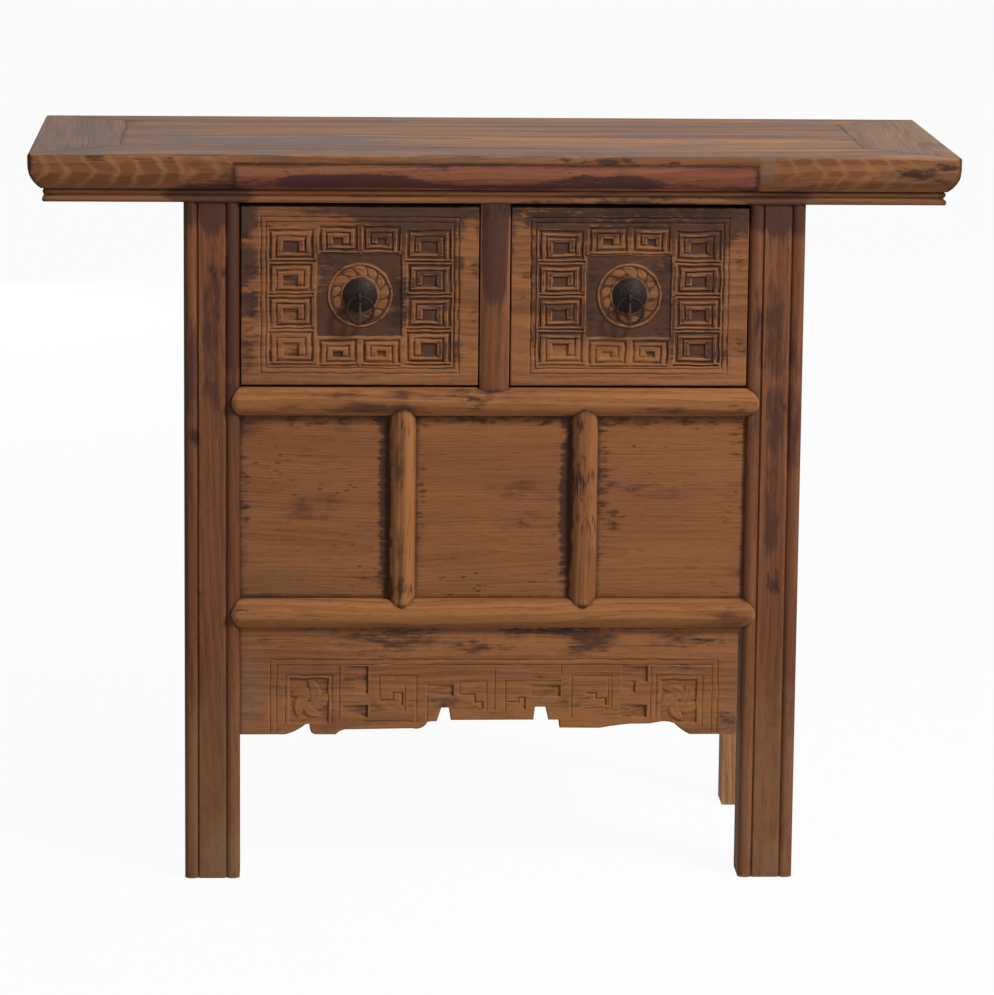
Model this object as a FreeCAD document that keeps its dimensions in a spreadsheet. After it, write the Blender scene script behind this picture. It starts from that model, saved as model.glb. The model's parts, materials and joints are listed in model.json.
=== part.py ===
import FreeCAD, Part
import math
import os
import re

import Sketcher

# A two-drawer coffer table of elm. A framed top with a rounded edge overhangs four
# moulded legs. Two carved drawers hang over a closed compartment with three fixed
# panels, and a carved apron hangs under the lower rail.
# X runs to the right, Y to the back and Z up. The origin is on the floor, midway between
# the ends of the top and midway between its front and back edges.

SIZES = (
    # the whole table
    ("table_width", 1100),
    ("table_depth", 440),
    ("table_height", 880),
    # the framed top
    ("board_thickness", 42),
    ("arris_round", 4),
    ("edge_tuck", 15.5),
    ("edge_curve", 31),
    ("corner_round", 9),
    ("front_board_width", 100),
    ("back_board_width", 60),
    ("end_board_width", 105),
    ("field_thickness", 16),
    ("field_tongue", 8),
    ("field_reach", 10),
    ("batten_width", 42),
    ("batten_drop", 22),
    ("batten_key", 4),
    ("batten_tenon", 12),
    ("batten_spacing", 400),
    ("strip_length", 616),
    ("strip_depth", 24),
    # the moulding under the edge of the top
    ("moulding_height", 16),
    ("moulding_depth", 22),
    ("moulding_setback", 16.5),
    ("moulding_quirk", 1.5),
    ("moulding_relief", 3),
    # the legs
    ("end_overhang", 182),
    ("leg_setback", 19),
    ("front_leg_width", 66),
    ("front_leg_depth", 52),
    ("back_leg_width", 53),
    ("back_leg_depth", 50),
    ("leg_bead", 16),
    ("leg_bead_turn", 7),
    ("leg_quirk", 2),
    ("leg_quirk_depth", 3.5),
    ("leg_field_drop", 1),
    ("leg_tenon_width", 30),
    ("leg_tenon_depth", 16),
    ("leg_tenon_height", 24),
    ("leg_tenon_inset", 3),
    # the round-fronted rails
    ("drawer_space", 237),
    ("middle_rail_height", 34),
    ("compartment_height", 222),
    ("lower_rail_height", 36),
    ("rail_proud", 7),
    ("rail_round", 12),
    ("rail_depth", 40),
    ("nose_lap_left", 10),
    ("nose_lap_right", 14),
    ("nose_swell", 1.5),
    ("nose_depth", 8),
    ("tenon_length", 28),
    ("tenon_thickness", 12),
    ("tenon_height", 20),
    # the uprights between the rails
    ("divider_width", 35),
    ("divider_proud", 2),
    ("divider_round", 4),
    ("stile_width", 33),
    ("stile_pitch", 217),
    ("stile_proud", 5.5),
    ("stile_round", 13),
    ("stile_depth", 32),
    ("stub_length", 10),
    ("stub_thickness", 8),
    # the panels and the floor of the compartment
    ("panel_thickness", 10),
    ("panel_setback", 8),
    ("panel_reach", 6),
    ("floor_thickness", 12),
    ("floor_drop", 15),
    # the apron
    ("apron_setback", 6),
    ("apron_thickness", 15),
    ("apron_height", 132),
    ("apron_left_gap", 1.5),
    ("apron_right_gap", 4.5),
    ("apron_tongue", 6),
    ("apron_tongue_thickness", 7),
    ("apron_cut", 34),
    ("apron_margin_left", 34.5),
    ("apron_margin_right", 24),
    ("apron_margin_top", 40),
    ("apron_line_pitch", 6),
    # the ends and the back
    ("side_rail_setback", 6),
    ("side_rail_thickness", 24),
    ("side_rail_round", 9),
    ("side_rail_height", 40),
    ("side_tenon_thickness", 10),
    ("back_rail_depth", 26),
    ("back_rail_setback", 5),
    ("back_panel_setback", 6),
    ("back_middle_rail_lift", 16),
    # the drawer runners
    ("runner_thickness", 14),
    ("runner_seat", 16),
    ("guide_height", 20),
    ("guide_gap", 0.5),
    # the drawers
    ("drawer_side_gap", 1.5),
    ("drawer_bottom_gap", 3),
    ("drawer_top_gap", 5),
    ("drawer_setback", 3),
    ("drawer_front_thickness", 22),
    ("drawer_board", 12),
    ("drawer_side_height", 190),
    ("drawer_side_inset", 0.5),
    ("running_gap", 0.3),
    ("drawer_base_thickness", 8),
    ("drawer_base_lift", 8),
    ("drawer_base_reach", 5),
    ("tail_length", 14),
    ("tail_flare", 3),
    # the carving of the drawer fronts and the apron
    ("carving_depth", 2.5),
    ("pit_depth", 4),
    ("groove_width", 2.5),
    ("fret_pitch", 7.5),
    ("fret_margin", 3.5),
    ("border_side", 23),
    ("border_bottom", 16),
    ("border_top", 14),
    ("border_pitch", 5.5),
    ("wreath_outer_radius", 38.5),
    ("wreath_inner_radius", 23.5),
    # the iron pulls
    ("pull_rise", 1.5),
    ("plate_radius", 20.5),
    ("plate_rise", 8),
    ("plate_wall", 1.5),
    ("plate_bore", 3.5),
    ("post_width", 4.5),
    ("post_tail", 11),
    ("post_tail_thickness", 2),
    ("eye_radius", 5),
    ("eye_bore", 2.6),
    ("eye_width", 3.6),
    ("eye_gap", 1.5),
    ("ring_radius", 15.7),
    ("ring_wire", 1.7),
    ("drop_gap", 1.4),
    ("drop_head_width", 2.4),
    ("drop_foot_width", 3.6),
    ("drop_thickness", 2.2),
)

# Worked out in the same sheet from the sizes above.
WORKED_OUT = (
    ("nip_share", "1 - sqrt(0.5)"),
    ("tuck_in_share", "0.265"),
    ("tuck_up_share", "0.441"),
    ("half_width", "table_width / 2"),
    ("half_depth", "table_depth / 2"),
    ("board_bottom", "table_height - board_thickness"),
    ("field_bottom", "table_height - field_thickness"),
    ("moulding_bottom", "board_bottom - moulding_height"),
    ("moulding_end", "half_width - moulding_setback"),
    ("moulding_face", "half_depth - moulding_setback"),
    ("moulding_end_back", "moulding_end - moulding_depth"),
    ("moulding_back", "moulding_face - moulding_depth"),
    ("field_end", "half_width - end_board_width"),
    ("field_front", "half_depth - front_board_width"),
    ("field_back", "half_depth - back_board_width"),
    ("leg_face", "half_depth - leg_setback"),
    ("leg_out", "half_width - end_overhang"),
    ("front_leg_in", "leg_out - front_leg_width"),
    ("front_leg_back", "leg_face - front_leg_depth"),
    ("back_leg_in", "leg_out - back_leg_width"),
    ("back_leg_front", "leg_face - back_leg_depth"),
    ("leg_tenon_out", "moulding_back - leg_tenon_inset"),
    ("leg_tenon_in", "leg_tenon_out - leg_tenon_depth"),
    ("rail_front", "leg_face + rail_proud"),
    ("rail_back", "rail_front - rail_depth"),
    ("middle_rail_top", "board_bottom - drawer_space"),
    ("middle_rail_bottom", "middle_rail_top - middle_rail_height"),
    ("middle_rail_middle", "middle_rail_bottom + middle_rail_height / 2"),
    ("lower_rail_top", "middle_rail_bottom - compartment_height"),
    ("lower_rail_bottom", "lower_rail_top - lower_rail_height"),
    ("lower_rail_middle", "lower_rail_bottom + lower_rail_height / 2"),
    ("panel_front", "leg_face - panel_setback"),
    ("panel_back", "panel_front - panel_thickness"),
    ("floor_top", "lower_rail_top - floor_drop"),
    ("side_out", "leg_out - side_rail_setback"),
    ("side_in", "side_out - side_rail_thickness"),
    ("side_centre", "(side_out + side_in) / 2"),
    ("upper_rail_bottom", "board_bottom - side_rail_height"),
    ("back_rail_face", "leg_face - back_rail_setback"),
    ("back_rail_front", "back_rail_face - back_rail_depth"),
    ("back_middle_rail_bottom", "middle_rail_bottom + back_middle_rail_lift"),
    ("back_middle_rail_top", "back_middle_rail_bottom + side_rail_height"),
    ("back_panel_face", "back_rail_face - back_panel_setback"),
    ("back_panel_front", "back_panel_face - panel_thickness"),
    ("runner_bottom", "middle_rail_top - runner_thickness"),
    ("guide_top", "middle_rail_top + guide_height"),
    ("half_divider", "divider_width / 2"),
    ("drawer_half", "(front_leg_in - half_divider) / 2 - drawer_side_gap"),
    ("drawer_centre", "half_divider + drawer_side_gap + drawer_half"),
    ("drawer_face", "leg_face - drawer_setback"),
    ("drawer_inner_face", "drawer_face - drawer_front_thickness"),
    ("drawer_front_bottom", "middle_rail_top + drawer_bottom_gap"),
    ("drawer_front_top", "moulding_bottom - drawer_top_gap"),
    ("drawer_side_out", "drawer_half - drawer_side_inset"),
    ("drawer_side_in", "drawer_side_out - drawer_board"),
    ("drawer_run", "middle_rail_top + running_gap"),
    ("drawer_side_top", "drawer_run + drawer_side_height"),
    ("drawer_end", "back_rail_front - running_gap"),
    ("drawer_back_front", "drawer_end - drawer_board"),
    ("drawer_base_bottom", "drawer_run + drawer_base_lift"),
    ("drawer_base_top", "drawer_base_bottom + drawer_base_thickness"),
    ("pull_height", "(drawer_front_bottom + drawer_front_top) / 2 + pull_rise"),
    ("dome_radius", "(plate_radius * plate_radius + plate_rise * plate_rise) / (2 * plate_rise)"),
    ("eye_line", "drawer_face + plate_rise + eye_gap + eye_radius"),
    ("apron_left", "front_leg_in - apron_left_gap"),
    ("apron_right", "front_leg_in - apron_right_gap"),
    ("apron_bottom", "lower_rail_bottom - apron_height"),
    ("apron_face", "leg_face - apron_setback"),
    ("apron_back", "apron_face - apron_thickness"),
)

# The lower edge of the apron, from left to right: how far along its length and how far up
# its cut-out each corner lies. A pair before a corner is the middle of an arc.
APRON_EDGE_SHARES = (
    ((0.0, 0.0),),
    ((0.0885, 0.0),),
    ((0.110, 0.14), (0.129, 0.36)),
    ((0.137, 0.39),),
    ((0.139, 0.18),),
    ((0.1425, 0.06), (0.151, 0.0)),
    ((0.191, 0.0),),
    ((0.199, 0.12), (0.211, 0.18)),
    ((0.345, 0.22),),
    ((0.367, 0.28), (0.376, 0.46)),
    ((0.394, 0.48),),
    ((0.403, 0.97),),
    ((0.418, 0.97),),
    ((0.422, 0.52),),
    ((0.589, 0.53),),
    ((0.592, 1.0),),
    ((0.613, 1.0),),
    ((0.619, 0.53),),
    ((0.640, 0.53),),
    ((0.642, 0.24),),
    ((0.723, 0.23),),
    ((0.750, 0.31), (0.783, 0.38)),
    ((0.824, 0.385),),
    ((0.850, 0.45), (0.873, 0.41)),
    ((0.886, 0.21), (0.905, 0.0)),
    ((0.988, 0.0),),
    ((0.996, 0.04), (1.0, 0.16)),
)

# Boxes of the key fret round a drawer front, as shares of its width and height: left,
# bottom, right, top, and whether the spiral is turned over sideways.
DRAWER_FRET_SHARES = (
    (0.108, 0.698, 0.312, 0.882, False),
    (0.108, 0.512, 0.306, 0.690, False),
    (0.108, 0.320, 0.306, 0.504, False),
    (0.108, 0.118, 0.312, 0.312, False),
    (0.318, 0.742, 0.496, 0.902, False),
    (0.504, 0.742, 0.676, 0.902, True),
    (0.318, 0.112, 0.496, 0.268, False),
    (0.504, 0.112, 0.676, 0.268, True),
    (0.688, 0.698, 0.892, 0.882, True),
    (0.694, 0.512, 0.892, 0.690, True),
    (0.694, 0.320, 0.892, 0.504, True),
    (0.688, 0.118, 0.892, 0.312, True),
)
MEDALLION_SHARES = (0.318, 0.276, 0.676, 0.734)

# Boxes of the carving along the apron, as shares of its length and height.
APRON_FRET_SHARES = (
    (0.272, 0.265, 0.362, 0.590, False),
    (0.434, 0.225, 0.497, 0.520, False),
    (0.523, 0.225, 0.582, 0.520, True),
    (0.658, 0.245, 0.750, 0.570, True),
)
APRON_PIT_SHARES = (
    (0.205, 0.385, 0.251, 0.650),
    (0.205, 0.165, 0.251, 0.275),
    (0.373, 0.365, 0.417, 0.475),
    (0.592, 0.365, 0.638, 0.475),
    (0.764, 0.405, 0.812, 0.640),
    (0.764, 0.165, 0.812, 0.280),
)
APRON_LEAF_SHARES = (
    (0.090, 0.120, 0.180, 0.570),
    (0.842, 0.135, 0.926, 0.550),
)

TAIL_COUNT = 3
TAIL_START_SHARE = 0.25
TENON_SHARE = 0.4
SHANK_START_SHARE = 0.75
HALF_DRAWER_WAYS = {"left": "-drawer_centre", "right": "drawer_centre"}

PLANES = {"XY": "XY_Plane", "XZ": "XZ_Plane", "YZ": "YZ_Plane"}

document = FreeCAD.newDocument("altar_table")
sheet = document.addObject("Spreadsheet::Sheet", "Sizes")
nodes = {}
cuts = []


def fill_sheet():
    """Write every size into the sheet as a plain number or a formula, with its alias."""
    rows = [(name, str(number)) for name, number in SIZES]
    rows += [(name, "=" + formula) for name, formula in WORKED_OUT]
    for row, (name, content) in enumerate(rows, start=1):
        sheet.set("A%d" % row, name.replace("_", " "))
        sheet.set("B%d" % row, content)
        sheet.setAlias("B%d" % row, name)
    document.recompute()


def size(text):
    """Return the number that a text of size names stands for."""
    return float(sheet.evalExpression(text))


def formula(text):
    """Turn a text of size names into a formula that reads them from the sheet."""
    return re.sub(r"[a-z][a-z_]*", r"Sizes.\g<0>", text)


def bind(item, target, text):
    """Bind a property of an object to a text of size names."""
    item.setExpression(target, formula(text))


def keep(item, name):
    """Label a finished piece and put it on the list of pieces to write."""
    item.Label = name
    nodes[name] = item
    return item


def bar(name, across, along, upward):
    """Make a rectangular block from a low and a high place on X, Y and Z."""
    item = document.addObject("Part::Box", name)
    for target, (low, high) in zip(("Length", "Width", "Height"), (across, along, upward)):
        bind(item, target, "(%s) - (%s)" % (high, low))
    for axis, (low, high) in zip("xyz", (across, along, upward)):
        bind(item, "Placement.Base." + axis, low)
    return item


def around(middle, thickness):
    """Return the low and high place of a thickness laid evenly about a middle."""
    return ("%s - %s / 2" % (middle, thickness), "%s + %s / 2" % (middle, thickness))


class Outline:
    """A closed sketch outline whose every corner is held by two dimensions."""

    def __init__(self, sketch):
        self.sketch = sketch
        self.held = []
        self.texts = {}

    def pin(self, geometry, position, place):
        """Hold one point at a place given as two texts of size names."""
        for kind, text in zip(("DistanceX", "DistanceY"), place):
            self.texts[len(self.held)] = text
            self.held.append(Sketcher.Constraint(kind, -1, 1, geometry, position, size(text)))

    def side(self, start, finish, entry):
        """Draw one side and return the positions of its first and last points."""
        if len(entry) == 1:
            side = self.sketch.addGeometry(Part.LineSegment(start, finish), False)
            return (side, 1), (side, 2)
        middle = FreeCAD.Vector(size(entry[0][0]), size(entry[0][1]), 0)
        forward = (middle - start).cross(finish - middle).z > 0
        first, last = (start, finish) if forward else (finish, start)
        side = self.sketch.addGeometry(Part.Arc(first, middle, last), False)
        mark = self.sketch.addGeometry(Part.Point(middle), True)
        self.pin(mark, 1, entry[0])
        self.held.append(Sketcher.Constraint("PointOnObject", mark, 1, side))
        if forward:
            return (side, 1), (side, 2)
        return (side, 2), (side, 1)

    def draw(self, entries):
        """Draw every side. Each entry is a corner, or an arc's middle and its corner."""
        corners = [entry[-1] for entry in entries]
        points = [FreeCAD.Vector(size(first), size(second), 0) for first, second in corners]
        ends = []
        for number, entry in enumerate(entries):
            ends.append(self.side(points[number - 1], points[number], entry))
        for number, (start, finish) in enumerate(ends):
            following = ends[(number + 1) % len(ends)][0]
            self.held.append(Sketcher.Constraint("Coincident", *finish, *following))
            self.pin(finish[0], finish[1], corners[number])
        self.sketch.addConstraint(self.held)
        for number, text in self.texts.items():
            self.sketch.renameConstraint(number, "place%d" % number)
            self.sketch.setExpression("Constraints.place%d" % number, formula(text))


def prism(name, plane, span, outline):
    """Pad an outline between a low and a high place along the normal of its plane."""
    low, high = span
    body = document.addObject("PartDesign::Body", name)
    sketch = body.newObject("Sketcher::SketchObject", name + "_outline")
    support = [item for item in body.Origin.OriginFeatures if item.Role == PLANES[plane]][0]
    sketch.AttachmentSupport = [(support, "")]
    sketch.MapMode = "FlatFace"
    bind(sketch, "AttachmentOffset.Base.z", "-(%s)" % high if plane == "XZ" else low)
    Outline(sketch).draw(outline)
    pad = body.newObject("PartDesign::Pad", name + "_pad")
    pad.Profile = sketch
    bind(pad, "Length", "(%s) - (%s)" % (high, low))
    return body


def straight(*places):
    """Turn plain corners into an outline whose sides are all straight."""
    return [(place,) for place in places]


def cylinder(name, axis, radius, span, centre):
    """Make a round bar along X or Y between two places, centred on the other two."""
    item = document.addObject("Part::Cylinder", name)
    turns = {"X": FreeCAD.Rotation(FreeCAD.Vector(0, 1, 0), 90),
             "Y": FreeCAD.Rotation(FreeCAD.Vector(1, 0, 0), -90)}
    item.Placement = FreeCAD.Placement(FreeCAD.Vector(0, 0, 0), turns[axis])
    bind(item, "Radius", radius)
    bind(item, "Height", "(%s) - (%s)" % (span[1], span[0]))
    places = {"X": (span[0], centre[0], centre[1]), "Y": (centre[0], span[0], centre[1])}
    for letter, text in zip("xyz", places[axis]):
        bind(item, "Placement.Base." + letter, text)
    return item


def sphere(name, radius, centre):
    """Make a ball about a centre."""
    item = document.addObject("Part::Sphere", name)
    bind(item, "Radius", radius)
    for letter, text in zip("xyz", centre):
        bind(item, "Placement.Base." + letter, text)
    return item


def fuse(name, pieces):
    """Join several solids into one."""
    item = document.addObject("Part::MultiFuse", name)
    item.Shapes = pieces
    item.Refine = True
    return item


def common(name, first, second):
    """Keep only what two solids share."""
    item = document.addObject("Part::Common", name)
    item.Base = first
    item.Tool = second
    item.Refine = True
    return item


def cut(name, base, tools):
    """Take each tool away from a piece, one after the other."""
    for number, tool in enumerate(tools):
        item = document.addObject("Part::Cut", "%s_%d" % (name, number))
        item.Base = base
        item.Tool = tool
        item.Refine = True
        cuts.append((item, base))
        base = item
    return base


def mirrored(name, source):
    """Make the right-hand twin of a left-hand piece."""
    item = document.addObject("Part::Mirroring", name)
    item.Source = source
    item.Normal = (1, 0, 0)
    item.Base = (0, 0, 0)
    return item


def round_front(low, high, front, swell, back):
    """Outline of a bar with a flat back and a rounded front, in depth and height."""
    middle = "(%s + %s) / 2" % (low, high)
    root = "%s + %s" % (front, swell)
    return [((back, low),), ((root, low),), ((front, middle), (root, high)), ((back, high),)]


class Leg:
    """One leg: its uncut post, its tenon into the top and the pieces let into it."""

    def __init__(self, place, side, post, tenon):
        self.place = place
        self.side = side
        self.post = post
        self.tenon = tenon
        self.takes = []

    def finish(self, notch):
        """Cut the leg round every piece that enters it and keep it."""
        name = "%s_leg_%s" % (self.place, self.side)
        whole = fuse(name + "_whole", [self.post, self.tenon])
        keep(cut(name + "_cut", whole, self.takes + [notch]), "leg_%s_%s" % (self.place, self.side))


def front_leg_outline():
    """Plan of a front leg: a bead down each edge and a flat between two quirks."""
    face = "-leg_face"
    turn = "-leg_face + leg_bead_turn"
    quirk = "-leg_face + leg_quirk_depth"
    field = "-leg_face + leg_field_drop"
    turn_nip = face + " + leg_bead_turn * nip_share"
    quirk_nip = face + " + leg_quirk_depth * nip_share"
    nip = "leg_bead * nip_share / 2"
    outside = "-leg_out"
    inside = "-front_leg_in"
    return [
        ((outside, "-front_leg_back"),),
        ((outside, turn),),
        ((outside + " + " + nip, turn_nip), (outside + " + leg_bead / 2", face)),
        ((outside + " + leg_bead - " + nip, quirk_nip), (outside + " + leg_bead", quirk)),
        ((outside + " + leg_bead + leg_quirk", field),),
        ((inside + " - leg_bead - leg_quirk", field),),
        ((inside + " - leg_bead", quirk),),
        ((inside + " - leg_bead + " + nip, quirk_nip), (inside + " - leg_bead / 2", face)),
        ((inside + " - " + nip, turn_nip), (inside, turn)),
        ((inside, "-front_leg_back"),),
    ]


def make_leg_posts():
    """Build the uncut legs: beaded posts in front, plain posts at the back."""
    height = ("0", "board_bottom")
    posts = {
        "front": prism("front_leg_post", "XY", height, front_leg_outline()),
        "back": bar("back_leg_post", ("-leg_out", "-back_leg_in"),
                    ("back_leg_front", "leg_face"), height),
    }
    rise = ("board_bottom", "board_bottom + leg_tenon_height")
    front_middle = "-(leg_out + front_leg_in) / 2"
    back_middle = "-(leg_out + back_leg_in) / 2"
    tenons = {
        "front": bar("front_leg_tenon", around(front_middle, "leg_tenon_width"),
                     ("-leg_tenon_out", "-leg_tenon_in"), rise),
        "back": bar("back_leg_tenon", around(back_middle, "leg_tenon_width"),
                    ("leg_tenon_in", "leg_tenon_out"), rise),
    }
    legs = {}
    for place in ("front", "back"):
        legs[place, "left"] = Leg(place, "left", posts[place], tenons[place])
        legs[place, "right"] = Leg(place, "right", mirrored(place + "_leg_post_right", posts[place]),
                                   mirrored(place + "_leg_tenon_right", tenons[place]))
    return legs


def edge_outline(half):
    """Outline of the top across one direction, tucked in under and eased above."""
    arc_up = "board_bottom + edge_curve * tuck_up_share"
    widest = "board_bottom + edge_curve"
    nip = "arris_round * nip_share"
    return [
        (("-%s + edge_tuck" % half, "board_bottom"),),
        (("-%s + edge_tuck * tuck_in_share" % half, arc_up), ("-" + half, widest)),
        (("-" + half, "table_height - arris_round"),),
        (("-%s + %s" % (half, nip), "table_height - " + nip),
         ("-%s + arris_round" % half, "table_height")),
        (("%s - arris_round" % half, "table_height"),),
        (("%s - %s" % (half, nip), "table_height - " + nip),
         (half, "table_height - arris_round")),
        ((half, widest),),
        (("%s - edge_tuck * tuck_in_share" % half, arc_up),
         ("%s - edge_tuck" % half, "board_bottom")),
    ]


def plan_outline():
    """Plan of the top with its four rounded corners."""
    nip = "corner_round * nip_share"
    return [
        (("-half_width", "-half_depth + corner_round"),),
        (("-half_width + " + nip, "-half_depth + " + nip),
         ("-half_width + corner_round", "-half_depth")),
        (("half_width - corner_round", "-half_depth"),),
        (("half_width - " + nip, "-half_depth + " + nip),
         ("half_width", "-half_depth + corner_round")),
        (("half_width", "half_depth - corner_round"),),
        (("half_width - " + nip, "half_depth - " + nip),
         ("half_width - corner_round", "half_depth")),
        (("-half_width + corner_round", "half_depth"),),
        (("-half_width + " + nip, "half_depth - " + nip),
         ("-half_width", "half_depth - corner_round")),
    ]


def make_top_blank():
    """Build the whole top as one shaped block."""
    lengthwise = prism("top_lengthwise", "YZ", ("-half_width", "half_width"),
                       edge_outline("half_depth"))
    crosswise = prism("top_crosswise", "XZ", ("-half_depth", "half_depth"),
                      edge_outline("half_width"))
    plan = prism("top_plan", "XY", ("board_bottom", "table_height"), plan_outline())
    return common("top_blank", common("top_edges", lengthwise, crosswise), plan)


def make_batten(side, centre):
    """A cross batten under the field, keyed into it and tenoned into the long boards."""
    length = ("-field_front", "field_back")
    under = "field_bottom - batten_drop"
    stem = bar("batten_stem_" + side, around(centre, "batten_width"), length,
               (under, "field_bottom"))
    tenon = bar("batten_tenon_" + side, around(centre, "batten_width / 2"),
                ("-field_front - batten_tenon", "field_back + batten_tenon"),
                (under, "field_bottom - batten_drop / 2"))
    key_low, key_high = around(centre, "batten_width / 2")
    key = prism("batten_key_" + side, "XZ", length, straight(
        (key_low, "field_bottom"), (key_high, "field_bottom"),
        (key_high + " + batten_key", "field_bottom + batten_key"),
        (key_low + " - batten_key", "field_bottom + batten_key")))
    return keep(fuse("batten_whole_" + side, [stem, tenon, key]), "top_batten_" + side)


def frame_plans(end, front, back, end_in, front_in, back_in):
    """Plans of four mitred pieces round a rectangle, given outer and inner places."""
    return {
        "front": (("-" + end, "-" + front), (end, "-" + front),
                  (end_in, "-" + front_in), ("-" + end_in, "-" + front_in)),
        "back": (("-" + end, back), ("-" + end_in, back_in), (end_in, back_in), (end, back)),
        "left": (("-" + end, "-" + front), ("-" + end_in, "-" + front_in),
                 ("-" + end_in, back_in), ("-" + end, back)),
        "right": ((end, "-" + front), (end, back), (end_in, back_in), (end_in, "-" + front_in)),
    }


def make_top(legs, divider_head):
    """Build the framed top: four mitred boards, the field, the battens and the edge strip."""
    blank = make_top_blank()
    plate = bar("field_plate", ("-field_end", "field_end"), ("-field_front", "field_back"),
                ("field_bottom", "table_height"))
    lip = bar("field_lip", ("-field_end - field_reach", "field_end + field_reach"),
              ("-field_front - field_reach", "field_back + field_reach"),
              ("field_bottom", "field_bottom + field_tongue"))
    field = fuse("field_blank", [plate, lip])
    battens = [make_batten("left", "-batten_spacing / 2"),
               make_batten("right", "batten_spacing / 2")]
    keep(cut("field_cut", field, battens), "top_field_panel")
    strip = bar("strip_block", ("-strip_length / 2", "strip_length / 2"),
                ("-half_depth", "-half_depth + strip_depth"),
                ("board_bottom", "board_bottom + edge_curve"))
    keep(common("strip_shaped", blank, strip), "front_edge_strip")
    front_takes = [legs["front", side].tenon for side in ("left", "right")]
    back_takes = [legs["back", side].tenon for side in ("left", "right")]
    takes = {
        "front": [field, strip, divider_head] + battens + front_takes,
        "back": [field] + battens + back_takes,
        "left": [field],
        "right": [field],
    }
    plans = frame_plans("half_width", "half_depth", "half_depth",
                        "field_end", "field_front", "field_back")
    for place, plan in plans.items():
        block = prism("board_plan_" + place, "XY", ("board_bottom", "table_height"),
                      straight(*plan))
        board = common("board_" + place, blank, block)
        keep(cut("board_cut_" + place, board, takes[place]), "top_board_" + place)


def bead_outline(half):
    """Outline of the moulding across one direction: a small bead over a larger one."""
    middle = "moulding_bottom + moulding_height / 2"
    low_middle = "moulding_bottom + moulding_height / 4"
    high_middle = "board_bottom - moulding_height / 4"
    root = "%s - moulding_relief"
    sides = []
    for sign in ("-", ""):
        def place(text, level):
            """One corner on this side."""
            return ("%s(%s)" % (sign, text % half), level)
        sides.append((
            place("%s - moulding_relief / 2", "moulding_bottom"),
            place("%s", low_middle),
            place(root, middle + " - moulding_quirk / 2"),
            place(root, middle + " + moulding_quirk / 2"),
            place("%s - moulding_relief / 4", high_middle),
            place(root, "board_bottom"),
        ))
    (foot, low, quirk_low, quirk_high, high, head), right = sides
    return [(foot,), (low, quirk_low), (quirk_high,), (high, head), (right[5],),
            (right[4], right[3]), (right[2],), (right[1], right[0])]


def make_moulding():
    """Build the four mitred strips of the double-beaded moulding under the edge."""
    lengthwise = prism("moulding_lengthwise", "YZ", ("-moulding_end", "moulding_end"),
                       bead_outline("moulding_face"))
    crosswise = prism("moulding_crosswise", "XZ", ("-moulding_face", "moulding_face"),
                      bead_outline("moulding_end"))
    blank = common("moulding_blank", lengthwise, crosswise)
    plans = frame_plans("moulding_end", "moulding_face", "moulding_face",
                        "moulding_end_back", "moulding_back", "moulding_back")
    for side, plan in plans.items():
        block = prism("moulding_plan_" + side, "XY", ("moulding_bottom", "board_bottom"),
                      straight(*plan))
        keep(common("moulding_" + side, blank, block), "edge_moulding_" + side)


def make_notches():
    """The rooms that legs, divider and back rail leave for the moulding."""
    across = ("-leg_out", "leg_out")
    height = ("moulding_bottom", "board_bottom")
    return {
        "front": bar("notch_front", across, ("-moulding_face", "-moulding_back"), height),
        "back": bar("notch_back", across, ("moulding_back", "moulding_face"), height),
    }


def nose_outline(bottom, top, middle, height):
    """Front view of a rail: pointed over the left leg and rounded over the right one."""
    left = "-front_leg_in"
    right = "front_leg_in"
    quarter = height + " / 4"
    left_arc = left + " - nose_lap_left / 2 - nose_swell"
    right_arc = right + " + nose_lap_right / 2 + nose_swell * 2"
    return [
        ((left_arc, bottom + " + %s - nose_swell / 2" % quarter), (left, bottom)),
        ((right, bottom),),
        ((right_arc, bottom + " + %s - nose_swell" % quarter),
         (right + " + nose_lap_right", middle)),
        ((right_arc, top + " - %s + nose_swell" % quarter), (right, top)),
        ((left, top),),
        ((left_arc, top + " - %s + nose_swell / 2" % quarter),
         (left + " - nose_lap_left", middle)),
    ]


def make_front_rail(level, legs):
    """A round-fronted rail whose noses lap over the inner beads of the front legs."""
    bottom = level + "_rail_bottom"
    top = level + "_rail_top"
    middle = level + "_rail_middle"
    left = "-front_leg_in"
    right = "front_leg_in"
    round_bar = prism(level + "_rail_bar", "YZ",
                      (left + " - nose_lap_left", right + " + nose_lap_right"),
                      round_front(bottom, top, "-rail_front", "rail_round", "-rail_back"))
    noses = prism(level + "_rail_noses", "XZ", ("-rail_front", "-leg_face + nose_depth"),
                  nose_outline(bottom, top, middle, level + "_rail_height"))
    core = bar(level + "_rail_core", (left, right), ("-leg_face + nose_depth", "-rail_back"),
               (bottom, top))
    envelope = fuse(level + "_rail_envelope", [noses, core])
    shaped = common(level + "_rail_shaped", round_bar, envelope)
    tenon = bar(level + "_rail_tenon", (left + " - tenon_length", right + " + tenon_length"),
                ("-rail_back - tenon_thickness * 2", "-rail_back - tenon_thickness"),
                around(middle, "tenon_height"))
    blank = fuse(level + "_rail_blank", [shaped, tenon])
    for side in ("left", "right"):
        legs["front", side].takes.append(blank)
    return blank


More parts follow.
